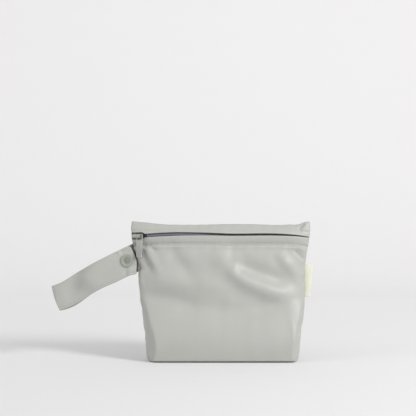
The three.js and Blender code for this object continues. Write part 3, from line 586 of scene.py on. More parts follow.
def sheet_piece(name, outer, thickness, outwards=True):
    """A closed sheet from a grid of points on its outside, in millimetres, with a UV map in real lengths."""
    rows, columns = outer.shape[:2]
    normal = normals_of(outer, outwards)
    inner = outer - normal * thickness
    points = np.concatenate([outer.reshape(-1, 3), inner.reshape(-1, 3)]) * MM
    step = rows * columns
    index = np.arange(step).reshape(rows, columns)
    a, b, c, d = (index[:-1, :-1], index[:-1, 1:], index[1:, 1:], index[1:, :-1])
    quads = np.stack([a, b, c, d], axis=-1).reshape(-1, 4)
    if not outwards:
        quads = quads[:, ::-1]
    border = np.concatenate([index[0, :], index[1:, -1], index[-1, -2::-1], index[-2:0:-1, 0]])
    after = np.roll(border, -1)
    rim = np.stack([border, border + step, after + step, after], axis=-1)
    if not outwards:
        rim = rim[:, ::-1]
    faces = np.concatenate([quads, quads[:, ::-1] + step, rim])
    across = travel(outer.swapaxes(0, 1)).T
    across = across - across[:, [columns // 2]]
    up = travel(outer[:, columns // 2])[:, None] + np.zeros((rows, columns))
    uv = np.tile(np.stack([across, up], axis=-1).reshape(-1, 2) * MM / UV_LENGTH, (2, 1))
    return mesh_piece(name, points, faces, uv)


def mesh_piece(name, points, faces, uv=None):
    """An object from points in metres and faces, merged, smooth and closed."""
    mesh = bpy.data.meshes.new(name)
    mesh.from_pydata([tuple(p) for p in points], [], [tuple(int(i) for i in f) for f in faces])
    if uv is not None:
        layer = mesh.uv_layers.new(name="cloth")
        corners = np.empty(len(mesh.loops), dtype=np.int32)
        mesh.loops.foreach_get("vertex_index", corners)
        layer.uv.foreach_set("vector", np.asarray(uv, dtype=np.float32)[corners].ravel())
    work = bmesh.new()
    work.from_mesh(mesh)
    bmesh.ops.remove_doubles(work, verts=work.verts, dist=2e-6)
    bmesh.ops.dissolve_degenerate(work, edges=work.edges, dist=1e-7)
    work.to_mesh(mesh)
    work.free()
    mesh.shade_smooth()
    return link(bpy.data.objects.new(name, mesh))


def tube_faces(rings, count, turned=False):
    """Quads along rings of points that follow each other, and a cap at each end."""
    i = (np.arange(rings - 1) * count)[:, None]
    k = np.arange(count)[None, :]
    after = (k + 1) % count
    quads = np.stack([i + k, i + after, i + count + after, i + count + k], axis=-1).reshape(-1, 4)
    last = (rings - 1) * count
    caps = [tuple(range(count))[::-1], tuple(range(last, last + count))]
    if turned:
        quads, caps = np.roll(quads[:, ::-1], 1, axis=1), [cap[::-1] for cap in caps]
    return quads.tolist() + caps


BEAD_PLACES = np.array([0.0, 0.16, 0.5, 0.84, 1.0])  # shares of a stitch
BEAD_WIDTHS = np.array([0.35, 0.85, 1.0, 0.85, 0.35])
BEAD_RISES = np.array([-0.35, 0.0, 0.12, 0.0, -0.35])  # out of the cloth; its ends go in at the needle holes


def stitches(name, runs, width=0.42, length=2.3, gap=0.7, sides=6):
    """Thread between needle holes: a soft bead for each stitch along runs of points (mm) and normals."""
    points, faces = [], []
    bead_faces = tube_faces(len(BEAD_PLACES), sides)
    angle = 2 * math.pi * np.arange(sides)[:, None] / sides
    for run, normals in runs:
        travelled = travel(run)
        for i in range(int(travelled[-1] // (length + gap))):
            places = (i * (length + gap) + BEAD_PLACES * length) + gap / 2
            centre, normal = (
                np.stack([np.interp(places, travelled, values[:, k]) for k in range(3)], axis=-1)
                for values in (run, normals)
            )
            normal = unit(normal)
            across = np.cross(unit(np.gradient(centre, axis=0)), normal)
            faces += [tuple(corner + len(points) for corner in face) for face in bead_faces]
            for k, place in enumerate(centre):
                radius, stands = width / 2 * BEAD_WIDTHS[k], width * BEAD_RISES[k]
                out = normal[k] * (stands + radius * np.sin(angle) * 0.8)
                points.extend(place + out + across[k] * radius * np.cos(angle))
    mesh = bpy.data.meshes.new(name)
    mesh.from_pydata([tuple(p * MM) for p in points], [], faces)
    work = bmesh.new()
    work.from_mesh(mesh)
    bmesh.ops.recalc_face_normals(work, faces=work.faces)
    work.to_mesh(mesh)
    work.free()
    mesh.shade_smooth()
    return link(bpy.data.objects.new(name, mesh))


# The cloth's smaller shapes. Crests and hollows are along curves, in mm; the two reaches are how far a crest
# falls away on its left and on its right, facing along the curve.
Crease = namedtuple("Crease", "x0 z0 xb zb x1 z1 left right height")
FINE_CREASES = [
    Crease(-84, 60, -50, 61, -22, 52, 8.0, 12.0, -0.9),
    Crease(-26, 53, 20, 45, 70, 60, 8.0, 14.0, -0.9),
    Crease(-10, 102, 6, 78, 44, 64, 4.0, 6.0, -0.4),
    Crease(64, 102, 70, 94, 81, 79, 3.5, 3.5, 0.5),
    Crease(46, 107, 59, 94, 76, 76, 5.0, 5.0, -0.9),
    Crease(69, 112, 74, 106, 81, 99, 1.8, 1.6, -0.9),
    Crease(70, 118, 75, 112, 82, 106, 1.6, 1.6, 0.8),
    Crease(75, 119, 79, 114, 85, 108, 1.5, 1.5, -0.6),
    Crease(76, 86, 80, 80, 83, 74, 1.8, 1.8, -0.6),
    Crease(-50, 114, -44, 102, -32, 88, 6.0, 5.0, -0.6),
    Crease(-28, 114, -18, 100, -6, 88, 7.0, 9.0, -0.5),
    Crease(-61, 108, -58, 94, -54, 80, 5.5, 6.0, 0.5),
    Crease(-84, 117, -75, 115.5, -64, 109, 2.0, 2.6, -1.9),
    Crease(-80, 115, -75, 104, -72, 86, 3.2, 3.4, -1.8),
    Crease(-79, 109, -73, 104, -64, 94, 2.2, 2.4, 0.5),
    Crease(-82, 92, -79, 82, -78, 70, 2.0, 3.0, 0.6),
    Crease(66, 46, 69, 36, 70, 4, 2.4, 2.0, 0.35),
    Crease(79, 62, 78, 48, 77, 34, 3.0, 8.0, 0.8),
    Crease(-80, 52, -74, 40, -70, 6, 2.0, 2.6, 0.6),
    Crease(-79, 44, -77, 32, -75, 14, 1.2, 1.2, -0.6),
]
BACK_CREASES = [
    Crease(70, 108, 40, 92, 4, 88, 7.0, 5.0, 1.6),
    Crease(-72, 104, -52, 84, -24, 74, 6.0, 5.0, 1.4),
    Crease(76, 70, 50, 58, 20, 56, 6.0, 5.0, -1.1),
    Crease(-76, 60, -50, 52, -16, 54, 6.0, 5.0, -1.2),
    Crease(20, 120, 16, 104, 24, 90, 6.0, 5.0, -0.8),
    Crease(-30, 122, -22, 108, -26, 92, 5.0, 6.0, 0.8),
    Crease(72, 46, 74, 30, 70, 14, 3.0, 3.0, 0.7),
    Crease(-76, 44, -74, 30, -70, 14, 3.0, 3.0, 0.7),
]


def fine_lift(creases, x, z):
    lift = np.zeros(np.shape(x))
    for row in creases:
        path = bezier([(row.x0, row.z0), (row.xb, row.zb), (row.x1, row.z1)], 8)
        away, along, side = off_curve(path, x, z)
        reach = np.where(side > 0, row.left, row.right)
        fade = smooth(np.minimum(along, 1 - along) / 0.3)
        lift += row.height * fade * bell(away, reach)
    return lift


def cockles(x, z, seed, amount=0.16):
    """Faint uneven waves all over the cloth, as a film-backed knit keeps them from being folded."""
    chance = np.random.default_rng(seed)
    wave = np.zeros(np.shape(x))
    for _ in range(9):
        length = chance.uniform(11, 34)
        turn = chance.normal(-0.55, 0.6)
        phase = chance.uniform(0, 2 * math.pi)
        wave += np.sin(2 * math.pi * (x * math.sin(turn) + z * math.cos(turn)) / length + phase) * length / 34
    return amount * wave / 2


def seam_puckers(distance, along, seed, pitch=8.5, reach=6.0, amount=0.35):
    """Small gathers square to a seam, strongest beside it."""
    chance = np.random.default_rng(seed)
    drift = sum(
        chance.uniform(0.4, 1) * np.sin(along / chance.uniform(9, 24) + chance.uniform(0, 6)) for _ in range(3)
    )
    return amount * np.exp(-np.abs(distance) / reach) * np.sin(2 * math.pi * along / pitch + drift)


GROOVE_DROP = 9.1  # from the zip's middle line to the topstitch under it
BAND_STITCH_RISE = 5.1  # from the zip's middle line to the topstitch over it
FINE_THREAD = 0.34  # width of the pouch's topstitches
LIP_STANDS = 2.0  # of the zip's lower lip, out of the line of the strip under it


def front_detail(points):
    """The front's creases and cockles, the stitched groove, and the strip from the groove up to the lip."""
    x, z = points[..., 0], points[..., 2]
    groove = z - (zip_height(x) - GROOVE_DROP)
    below = smooth(-groove / 3)
    detail = fine_lift(FINE_CREASES, x, z) * below
    detail += cockles(x, z, 4) * (0.25 + 0.75 * below)
    ends = smooth((x + 80) / 8) * smooth((92 - x) / 30) * (1 + 0.45 * smooth((-40 - x) / 36))
    detail += LIP_STANDS * np.clip(groove / 7, 0, 1) * ends
    stitch = (1 + 0.1 * np.sin(2 * math.pi * x / 5.6 + np.sin(x / 13))) * (1 + 1.5 * smooth((-64 - x) / 12))
    detail -= stitch * (0.6 * bell(groove, 0.9) + 0.7 * bell(groove, 2.6))
    detail += 0.8 * bell(groove + 3.0, 1.7)
    detail += seam_puckers(groove, x, 11, pitch=11.0, reach=5.0, amount=0.28) * below
    return detail


SEAM_STANDS = 1.3  # of a side seam, out of its straight run
ROOT_DIP, ROOT_DIP_HEIGHT = 2.4, 92.5  # of the left seam, under the strap's root


def seam_ease(grid):
    """Moves the side seams out from the straight run of the solids, and in beside the strap's root."""
    x, z = grid[..., 0], grid[..., 2]
    left = SEAM_STANDS * smooth((z - 46) / 14) - ROOT_DIP * bell(z - ROOT_DIP_HEIGHT, 4.0)
    left -= 0.5 * smooth((z - 124) / 8)
    right = SEAM_STANDS * (smooth((z - 92) / 12) + smooth((26 - z) / 14))
    grid[..., 0] += right * smooth((x - 64) / 20) - left * smooth((-x - 64) / 20)
    return grid


def side_detail(u, points, seed):
    """Gathers along both side seams, and the roll of the cloth into them."""
    z = points[..., 2]
    detail = np.zeros(np.shape(z))
    for side, column in ((-1, 0), (1, -1)):
        distance = np.linalg.norm(points - points[:, [column]], axis=-1)
        weight = np.where(np.sign(u) == side, 1.0, 0.0)
        gathers = seam_puckers(distance, z + 3 * side, seed + side, pitch=14.0, reach=5.0, amount=0.2)
        detail += weight * gathers
        detail -= weight * 0.9 * np.clip(1 - distance / 1.6, 0, 1) ** 2
    return detail


def edge_roll(distance, radius):
    """How far an edge turns in, at a distance from it."""
    t = np.clip(1 - distance / radius, 0, 1)
    return radius * (1 - np.sqrt(np.maximum(0, 1 - t**2)))


FRONT_COLUMNS = 190
SWELL = 1.8  # of the front over the base's edge
SWELL_CLEAR = 1.4  # under it
BASE_SHARE = 0.86  # of the base's depth that touches the floor


def lip_rise(u, side, start):
    """Rise of a lip of the zip at shares of the width: side -1 is the lower lip and 1 the upper one."""
    rise = np.full_like(u, start)
    for _ in range(4):
        x = inside(u, rise, True)[..., 0]
        rise = rise_at(x, zip_height(x) + side * slot_at(x) / 2)
    return rise


def front_cloth_grid():
    """Outside of the front and base cloth, from the base's back edge, under and up to the zip's lower lip."""
    u = spread(FRONT_COLUMNS)[None, :]
    lip = lip_rise(u, -1, 0.88)
    floor = CLOTH / HEIGHT
    shares = np.concatenate(
        [
            np.linspace(0, 0.03, 6)[:-1],
            np.linspace(0.03, 0.9, 100)[:-1],
            np.linspace(0.9, 0.97, 34)[:-1],
            np.linspace(0.97, 1.0, 18),
        ]
    )[:, None]
    rise = floor + shares * (lip - floor)
    wide = np.broadcast_to(u, rise.shape)
    wall = inside(wide, rise, True)
    out = normals_of(wall)
    detail = front_detail(wall) + side_detail(wide, wall, 21)
    below_lip = wall[-1:, :, 2] - wall[..., 2]
    detail -= edge_roll(below_lip, 1.2)
    front_edge, back_edge = wall[0], inside(u, np.full_like(u, floor), False)[0]
    under = np.linspace(0, 1, 26)[:-1, None, None]
    base = back_edge[None] + (front_edge - back_edge)[None] * under
    base[..., 2] = CLOTH
    down = np.zeros_like(base)
    down[..., 2] = -1
    down[0] = down[0] + (0, 1, 0)
    out[0] = out[0] + (0, 0, -1)
    out[1] = out[1] + (0, 0, -0.35)
    grid = np.concatenate([base, wall])
    normal = unit(np.concatenate([down, out]))
    push = np.concatenate([np.zeros(base.shape[:2]), detail])
    fade = smooth(grid[..., 2] / 9)
    wall_rows = np.arange(len(grid))[:, None] >= len(base)
    outer = grid + normal * (CLOTH + push * fade)[..., None]
    outer[..., 1] = np.where(wall_rows, np.minimum(outer[..., 1], -SEAM_GAP), outer[..., 1])
    # The front swells over the base's edge, so that a dark gap shows along the floor.
    fullness = np.clip(-grid[..., 1] / HALF_DEPTH, 0, 1)
    outer[..., 1] -= wall_rows * SWELL * fullness * (1 - smooth((grid[..., 2] - 16) / 26))
    outer[..., 2] = np.maximum(outer[..., 2], wall_rows * SWELL_CLEAR * fullness)
    drawn_back = back_edge[..., 1] + (outer[..., 1] - back_edge[..., 1]) * BASE_SHARE
    outer[..., 1] = np.where(wall_rows, outer[..., 1], drawn_back)
    return seam_ease(outer)


def upper_shares(low, high):
    """Rises from a lower edge to the top seam, closer together at both ends."""
    t = np.linspace(0, 1, 46)[:, None]
    eased = 0.5 - 0.5 * np.cos(math.pi * t)
    return low + (high - low) * (0.75 * eased + 0.25 * t)


TOP_ROLL = 2.4  # height over which the top seam rounds in


def rolled_top(grid, rise):
    """Rounds a panel's top edge in to the seam."""
    t = np.clip((rise - 1 + TOP_ROLL / HEIGHT) / (TOP_ROLL / HEIGHT), 0, 1)
    grid[..., 1] *= np.sqrt(np.maximum(0, 1 - t**2)) * 0.94 + 0.06
    return grid


def top_band_grid():
    u = spread(FRONT_COLUMNS)[None, :]
    rise = upper_shares(lip_rise(u, 1, 0.9), 1.0)
    wide = np.broadcast_to(u, rise.shape)
    wall = inside(wide, rise, True)
    out = normals_of(wall)
    x, z = wall[..., 0], wall[..., 2]
    detail = side_detail(wide, wall, 31) + cockles(x, z, 6, 0.12)
    above_lip = wall[..., 2] - wall[:1, :, 2]
    detail += 0.9 * bell(above_lip, 2.2) * (1 - wide**8) - edge_roll(above_lip, 0.7)
    seam = z - (zip_height(x) + BAND_STITCH_RISE)
    detail -= 0.3 * bell(seam, 0.6) + 0.25 * bell(seam, 1.6)
    detail += seam_puckers(wall[..., 2] - wall[-1:, :, 2], x, 37, pitch=13.0, reach=5.0, amount=0.22)
    corner = bezier([(74, 130), (77.5, 134), (81.5, 138.5)], 6)
    away, along, side = off_curve(corner, x, z)
    pinch = 0.6 * bell(away * side - 2.6, 1.6) - 1.3 * bell(away, 1.1) + 0.7 * bell(away * side + 3.0, 1.8)
    detail += pinch * smooth(np.minimum(along, 1 - along) / 0.3)
    outer = wall + out * (CLOTH + detail)[..., None]
    outer = rolled_top(outer, rise)
    outer[..., 1] = np.minimum(outer[..., 1], -SEAM_GAP)
    return seam_ease(outer)


def back_cloth_grid():
    u = spread(170)[None, :]
    low = np.full_like(u, (CLOTH + 0.3) / HEIGHT)
    t = np.linspace(0, 1, 130)[:, None]
    rise = low + (1 - low) * (0.8 * t + 0.2 * (0.5 - 0.5 * np.cos(math.pi * t)))
    top = np.linspace(1 - 0.03, 1, 12)[1:, None] + 0 * low
    rise = np.concatenate([rise[rise[:, 0] < 1 - 0.03], top])
    wide = np.broadcast_to(u, rise.shape)
    wall = inside(wide, rise, False)
    out = normals_of(wall, False)
    x, z = wall[..., 0], wall[..., 2]
    detail = fine_lift(BACK_CREASES, x, z) + cockles(x, z, 8) + side_detail(wide, wall, 41)
    detail *= smooth(z / 9)
    detail -= edge_roll(wall[..., 2] - wall[:1, :, 2], 1.0)
    outer = wall + out * (CLOTH + detail)[..., None]
    outer = rolled_top(outer, rise)
    outer[..., 1] = np.maximum(outer[..., 1], SEAM_GAP)
    return seam_ease(outer)


def groove_run(grid, height_at, start, end, lift=0.0):
    """A line of points and normals on a grid, at a height for each x, from one x to another."""
    normal = normals_of(grid)
    run, normals = [], []
    for j, x in enumerate(grid[-1, :, 0]):
        if not start <= x <= end:
            continue
        upwards = grid[:, j, 2].argsort()
        front = upwards[grid[upwards, j, 1] < 0]
        for values, found in ((grid, run), (normal, normals)):
            found.append([np.interp(height_at(x), grid[front, j, 2], values[front, j, k]) for k in range(3)])
    run, normals = np.array(run), np.array(normals)
    return run + normals * lift, normals


def colour_setting(name, description, hex_colour):
    return FloatVectorProperty(
        name=name, description=description, subtype="COLOR", default=linear(hex_colour), min=0, max=1
    )


def length_setting(name, description, metres):
    return FloatProperty(name=name, description=description, default=metres, unit="LENGTH", precision=4)


def amount_setting(name, description, amount):
    return FloatProperty(name=name, description=description, default=amount)


def angle_setting(name, description, degrees):
    return FloatProperty(name=name, description=description, default=math.radians(degrees), subtype="ANGLE")


class WetBagCloth(PropertyGroup):
    colour: colour_setting("Colour", "Lit colour of the knit", "#afb0ab")
    shade_colour: colour_setting("Shade", "Darker end of its variation", "#a8a9a3")
    thickness: length_setting("Thickness", "Of one layer", 0.9 * MM)
    wale_pitch: length_setting("Wale pitch", "Between the knit's ribs", 0.9 * MM)
    roughness: FloatProperty(name="Roughness", description="Of the knit's face", default=0.44, min=0, max=1)


class WetBagZip(PropertyGroup):
    coil_pitch: length_setting("Coil pitch", "From turn to turn", 1.3 * MM)
    wire: length_setting("Wire", "Diameter of the coil's wire", 0.55 * MM)
    coil_colour: colour_setting("Coil", "Colour of the nylon", "#a09da8")
    tape_colour: colour_setting("Tape", "Colour of the tape", "#77777a")
    slider_colour: colour_setting("Slider", "Colour of slider and pull", "#999994")


class WetBagStrap(PropertyGroup):
    snap_colour: colour_setting("Snap", "Colour of the snap", "#92978b")
    label_colour: colour_setting("Label", "Colour of the label", "#dddecb")


class WetBagStage(PropertyGroup):
    camera_distance: length_setting("Camera distance", "From the bag's middle plane", 1.2)
    camera_height: length_setting("Camera height", "Above the floor", 0.1525)
    key_power: amount_setting("Key light", "Power of the main light, in watts", 24.5)
    key_turn: angle_setting("Key direction", "To the right of the camera", 45)
    key_rise: angle_setting("Key height", "Above the floor's level", 27)
    side_power: amount_setting("Side light", "Power of the soft light on the left", 6.5)
    fill: amount_setting("Fill", "Strength of the even light all round", 0.68)


class WETBAG_OT_front_cloth(Operator):
    """Makes the front and base cloth, with its folds and the topstitched strip under the zip"""

    bl_idname = "wetbag.front_cloth"
    bl_label = "Front and base cloth"

    def execute(self, context):
        cloth = context.scene.wet_bag_cloth
        grid = front_cloth_grid()
        piece = sheet_piece("front_cloth", grid, cloth.thickness / MM)
        wear(piece, laminated_knit(), "laminated_knit", "pouch", "front_base_panel")
        line = groove_run(grid, lambda x: zip_height(x) - GROOVE_DROP, -74, 82, -0.22)
        seam = stitches("strip_topstitch", [line], FINE_THREAD)
        wear(seam, spun_thread(), "laminated_knit", "pouch")
        return {"FINISHED"}


class WETBAG_OT_back_cloth(Operator):
    """Makes the back cloth"""

    bl_idname = "wetbag.back_cloth"
    bl_label = "Back cloth"

    def execute(self, context):
        cloth = context.scene.wet_bag_cloth
        piece = sheet_piece("back_cloth", back_cloth_grid(), cloth.thickness / MM, outwards=False)
        wear(piece, laminated_knit(), "laminated_knit", "pouch", "back_panel")
        return {"FINISHED"}


class WETBAG_OT_top_band(Operator):
    """Makes the band between the top seam and the zip"""

    bl_idname = "wetbag.top_band"
    bl_label = "Top band"

    def execute(self, context):
        cloth = context.scene.wet_bag_cloth
        grid = top_band_grid()
        piece = sheet_piece("top_band_cloth", grid, cloth.thickness / MM)
        wear(piece, laminated_knit(), "laminated_knit", "pouch", "top_band")
        line = groove_run(grid, lambda x: zip_height(x) + BAND_STITCH_RISE, -86, 82, -0.1)
        seam = stitches("band_topstitch", [line], FINE_THREAD)
        wear(seam, spun_thread(), "laminated_knit", "pouch")
        return {"FINISHED"}


# The zip


def inside_front(x, z):
    """Depth of the inside of the front cloth at places."""
    rise = rise_at(x, z)
    left, right = seam_x("left", rise), seam_x("right", rise)
    u = np.clip((x - (left + right) / 2) / ((right - left) / 2 - CLOTH), -1, 1)
    return inside(u, rise, True)[..., 1]


def zip_ends():
    """Where the side seams are at the zip."""
    rise = (HEIGHT - ZIP_DROP) / HEIGHT
    return seam_x("left", rise), seam_x("right", rise)


def tape_grid(below, above):
    left, right = zip_ends()
    x = np.linspace(left + ZIP_INSET, right - ZIP_INSET, 150)[None, :]
    z = zip_height(x) + np.linspace(below, above, 9)[:, None]
    x = np.broadcast_to(x, z.shape)
    weave = 0.05 * np.sin(2 * math.pi * x / 3.1)
    return np.stack([x, inside_front(x, z) + TAPE_SEAT + weave, z], axis=-1)


def coil_half(side, pitch, wire):
    """Points and faces of one half of the coil: an oval helix that hooks past the middle of the zip."""
    left, right = zip_ends()
    start, end = left + TAPE_NOTCH, right - ZIP_INSET
    turns = int((end - start) / pitch) - 1
    steps, sides = 12, 5
    t = np.arange(turns * steps + 1) / steps
    angle = 2 * math.pi * t
    x = start + pitch * (t + (0.5 if side < 0 else 0.0) + 0.5)
    reach, depth = COIL_WIDTH / 2 - 0.65, 0.62
    middle = zip_height(x)
    z = middle + side * (0.62 + reach * np.cos(angle))
    closing = 1.8 * smooth((x + 30) / 34)  # the coil lies deeper where the lips close over it
    y = inside_front(x, middle) + TAPE_SEAT + wire / 2 + depth * (1 + np.sin(angle)) + closing
    line = np.stack([x, y, z], axis=-1)
    along = unit(np.gradient(line, axis=0))
    first = unit(np.cross(along, (1, 0, 0)))
    second = np.cross(along, first)
    round_wire = (2 * math.pi * np.arange(sides) / sides)[None, :, None]
    ring = np.cos(round_wire) * first[:, None] + np.sin(round_wire) * second[:, None]
    points = (line[:, None] + ring * wire / 2).reshape(-1, 3)
    return points * MM, tube_faces(len(line), sides)


# Hard pieces, modelled by hand operators in the slider's own frame: x along the zip, -y out of the cloth


def box_piece(name, low, high):
    """A box between two corners, in millimetres."""
    object_mode()
    middle = [(a + b) / 2 * MM for a, b in zip(low, high)]
    size = [(b - a) * MM for a, b in zip(low, high)]
    bpy.ops.mesh.primitive_cube_add(size=1, location=middle, scale=size)
    bpy.ops.object.transform_apply(location=True, rotation=True, scale=True)
    piece = bpy.context.active_object
    piece.name = piece.data.name = name
    return piece


def pick(piece, test, kind="faces"):
    """Selects what a test on its middle (mm) and its direction passes, in edit mode."""
    if bpy.context.mode != "EDIT_MESH":
        bpy.context.view_layer.objects.active = piece
        bpy.ops.object.mode_set(mode="EDIT")
    bpy.ops.mesh.select_mode(type="FACE" if kind == "faces" else "EDGE")
    bpy.ops.mesh.select_all(action="DESELECT")
    work = bmesh.from_edit_mesh(piece.data)
    for item in work.faces if kind == "faces" else work.edges:
        if kind == "faces":
            middle, facing = item.calc_center_median() / MM, item.normal
        else:
            a, b = (corner.co for corner in item.verts)
            middle, facing = (a + b) / 2 / MM, (b - a).normalized()
        item.select_set(bool(test(middle, facing)))
    bmesh.update_edit_mesh(piece.data)


def draw_out(*move):
    bpy.ops.mesh.extrude_region_move(TRANSFORM_OT_translate={"value": [d * MM for d in move]})


def inset(width, depth=0):
    bpy.ops.mesh.inset(thickness=width * MM, depth=depth * MM)


def round_off(width, segments):
    bpy.ops.mesh.bevel(offset=width * MM, segments=segments)


def object_mode(piece=None):
    """Leaves edit mode, with one piece selected or none."""
    if bpy.context.mode == "EDIT_MESH":
        bpy.ops.object.mode_set(mode="OBJECT")
    bpy.ops.object.select_all(action="DESELECT")
    if piece:
        piece.select_set(True)
        bpy.context.view_layer.objects.active = piece


def combine(piece, other, operation):
    """Joins or cuts a piece by another, which is used up."""
    object_mode(piece)
    change = piece.modifiers.new("combine", "BOOLEAN")
    change.operation, change.object, change.solver = operation, other, "EXACT"
    bpy.ops.object.modifier_apply(modifier=change.name)
    bpy.data.objects.remove(other, do_unlink=True)


def soften(piece, width, segments=3, angle=35):
    """Rounds the sharp edges and smooths the shading between them."""
    object_mode(piece)
    bevel = piece.modifiers.new("soften", "BEVEL")
    bevel.width, bevel.segments = width * MM, segments
    bevel.limit_method, bevel.angle_limit = "ANGLE", math.radians(angle)
    bevel.harden_normals = False
    bpy.ops.object.modifier_apply(modifier=bevel.name)
    bpy.ops.object.shade_smooth_by_angle(angle=math.radians(40))


def place_on_zip(piece):
    """Moves a piece from the slider's own frame to its seat on the cloth, which the pull's hinge gives."""
    hinge = JOINT["pos_m"]
    out = Vector(JOINT["axis"])
    turn = math.atan2(out.x, -out.y)
    seat = Vector(hinge) + out * PULL_MIDDLE * MM
    piece.data.transform(Matrix.Translation(seat) @ Matrix.Rotation(turn, 4, "Z"))
    piece.data.update()
    return piece


class WETBAG_OT_zip(Operator):
    """Makes the zip's tapes and its two halves of coil"""

    bl_idname = "wetbag.zip"
    bl_label = "Zip tapes and coil"

    def execute(self, context):
        zips = context.scene.wet_bag_zip
        edge = COIL_WIDTH / 2 + 0.3
        for name, below, above in (
            ("zip_tape_upper", edge, edge + TAPE_WIDTH_UPPER),
            ("zip_tape_lower", -edge - TAPE_WIDTH_LOWER, -edge),
        ):
            tape = sheet_piece("woven_" + name, tape_grid(below, above), TAPE_THICKNESS)
            wear(tape, woven_tape(), "zip_tape", "pouch", name)
        for name, side in (("zip_coil_upper", 1), ("zip_coil_lower", -1)):
            points, faces = coil_half(side, zips.coil_pitch / MM, zips.wire / MM)
            coil = mesh_piece("wound_" + name, points, faces)
            wear(coil, drawn_nylon(), "zip_coil", "pouch", name)
        return {"FINISHED"}


class WETBAG_OT_slider(Operator):
    """Makes the zip's slider: top plate, crown, neck and foot"""

    bl_idname = "wetbag.slider"
    bl_label = "Slider"

    def execute(self, context):
        half = PLATE_WIDTH / 2
        slider = box_piece("slider_casting", (PLATE_LEFT, 0, -half), (PLATE_RIGHT, PLATE_THICKNESS, half))
        pick(slider, lambda middle, facing: facing.x > 0.9)
        bpy.ops.transform.resize(value=(1, 1, 0.72))
        pick(slider, lambda middle, facing: abs(facing.y) > 0.9, "edges")
        round_off(1.1, 4)
        pick(slider, lambda middle, facing: facing.y < -0.9)
        inset(0.5, 0.2)
        crown = box_piece("crown", (-0.7, -2.1, -0.85), (0.7, 0.4, 0.85))
        pick(crown, lambda middle, facing: facing.y < -0.9)
        draw_out(0, -1.2, 0)
        bpy.ops.transform.resize(value=(1, 1, 1.7))
        pick(crown, lambda middle, facing: facing.x < -0.9 and middle.y < -2.1)
        draw_out(-4.6, 0, 0)
        draw_out(-1.4, 0, 0)
        pick(crown, lambda middle, facing: facing.y > 0.9 and middle.x < -5.3)
        draw_out(0, 2.5, 0)
        neck = box_piece("neck", (-4.6, PLATE_THICKNESS / 2, -1.0), (-1.6, NECK_DEPTH + 0.45, 1.0))
        foot = box_piece("foot", (-4.6, NECK_DEPTH, -2.6), (0.8, NECK_DEPTH + 0.9, 2.6))
        for other in (crown, neck, foot):
            combine(slider, other, "UNION")
        soften(slider, 0.28)
        place_on_zip(slider)
        wear(slider, lacquered_zinc(), "lacquered_zinc", "pouch", "zip_slider")
        return {"FINISHED"}


class WETBAG_OT_pull(Operator):
    """Makes the pull tab that hangs on the slider's crown"""

    bl_idname = "wetbag.pull"
    bl_label = "Pull tab"

    def execute(self, context):
        pull = box_piece("pull_casting", (-3.2, PULL_MIDDLE - 0.65, -22), (3.2, PULL_MIDDLE + 0.65, 2.0))
        pick(pull, lambda middle, facing: abs(facing.y) > 0.9 and middle.z > 0, "edges")
        round_off(1.0, 4)
        pick(pull, lambda middle, facing: abs(facing.y) > 0.9 and middle.z < -20, "edges")
        round_off(2.4, 7)
        bpy.ops.mesh.select_all(action="SELECT")
        bpy.ops.mesh.bisect(plane_co=(0, 0, -4.4 * MM), plane_no=(0, 0, 1))
        pick(pull, lambda middle, facing: facing.y < -0.9 and middle.z < -4.4)
        draw_out(0, -0.5, 0)
        pick(pull, lambda middle, facing: middle.x > 3.0 and middle.y < PULL_MIDDLE - 1.0, "edges")
        round_off(1.3, 1)
        pick(pull, lambda middle, facing: facing.y > 0.9 and middle.z < -4.4)
        inset(1.0, -0.2)
        window = box_piece("window", (-2.2, -3.5, -3.6), (2.2, 1.5, 1.2))
        combine(pull, window, "DIFFERENCE")
        soften(pull, 0.5, 4)
        place_on_zip(pull)
        wear(pull, lacquered_zinc(), "lacquered_zinc", "pull", "zip_pull")
        return {"FINISHED"}


# The strap, its snap and the label


def strap_root():
    return seam_x("left", STRAP_HEIGHT / HEIGHT)


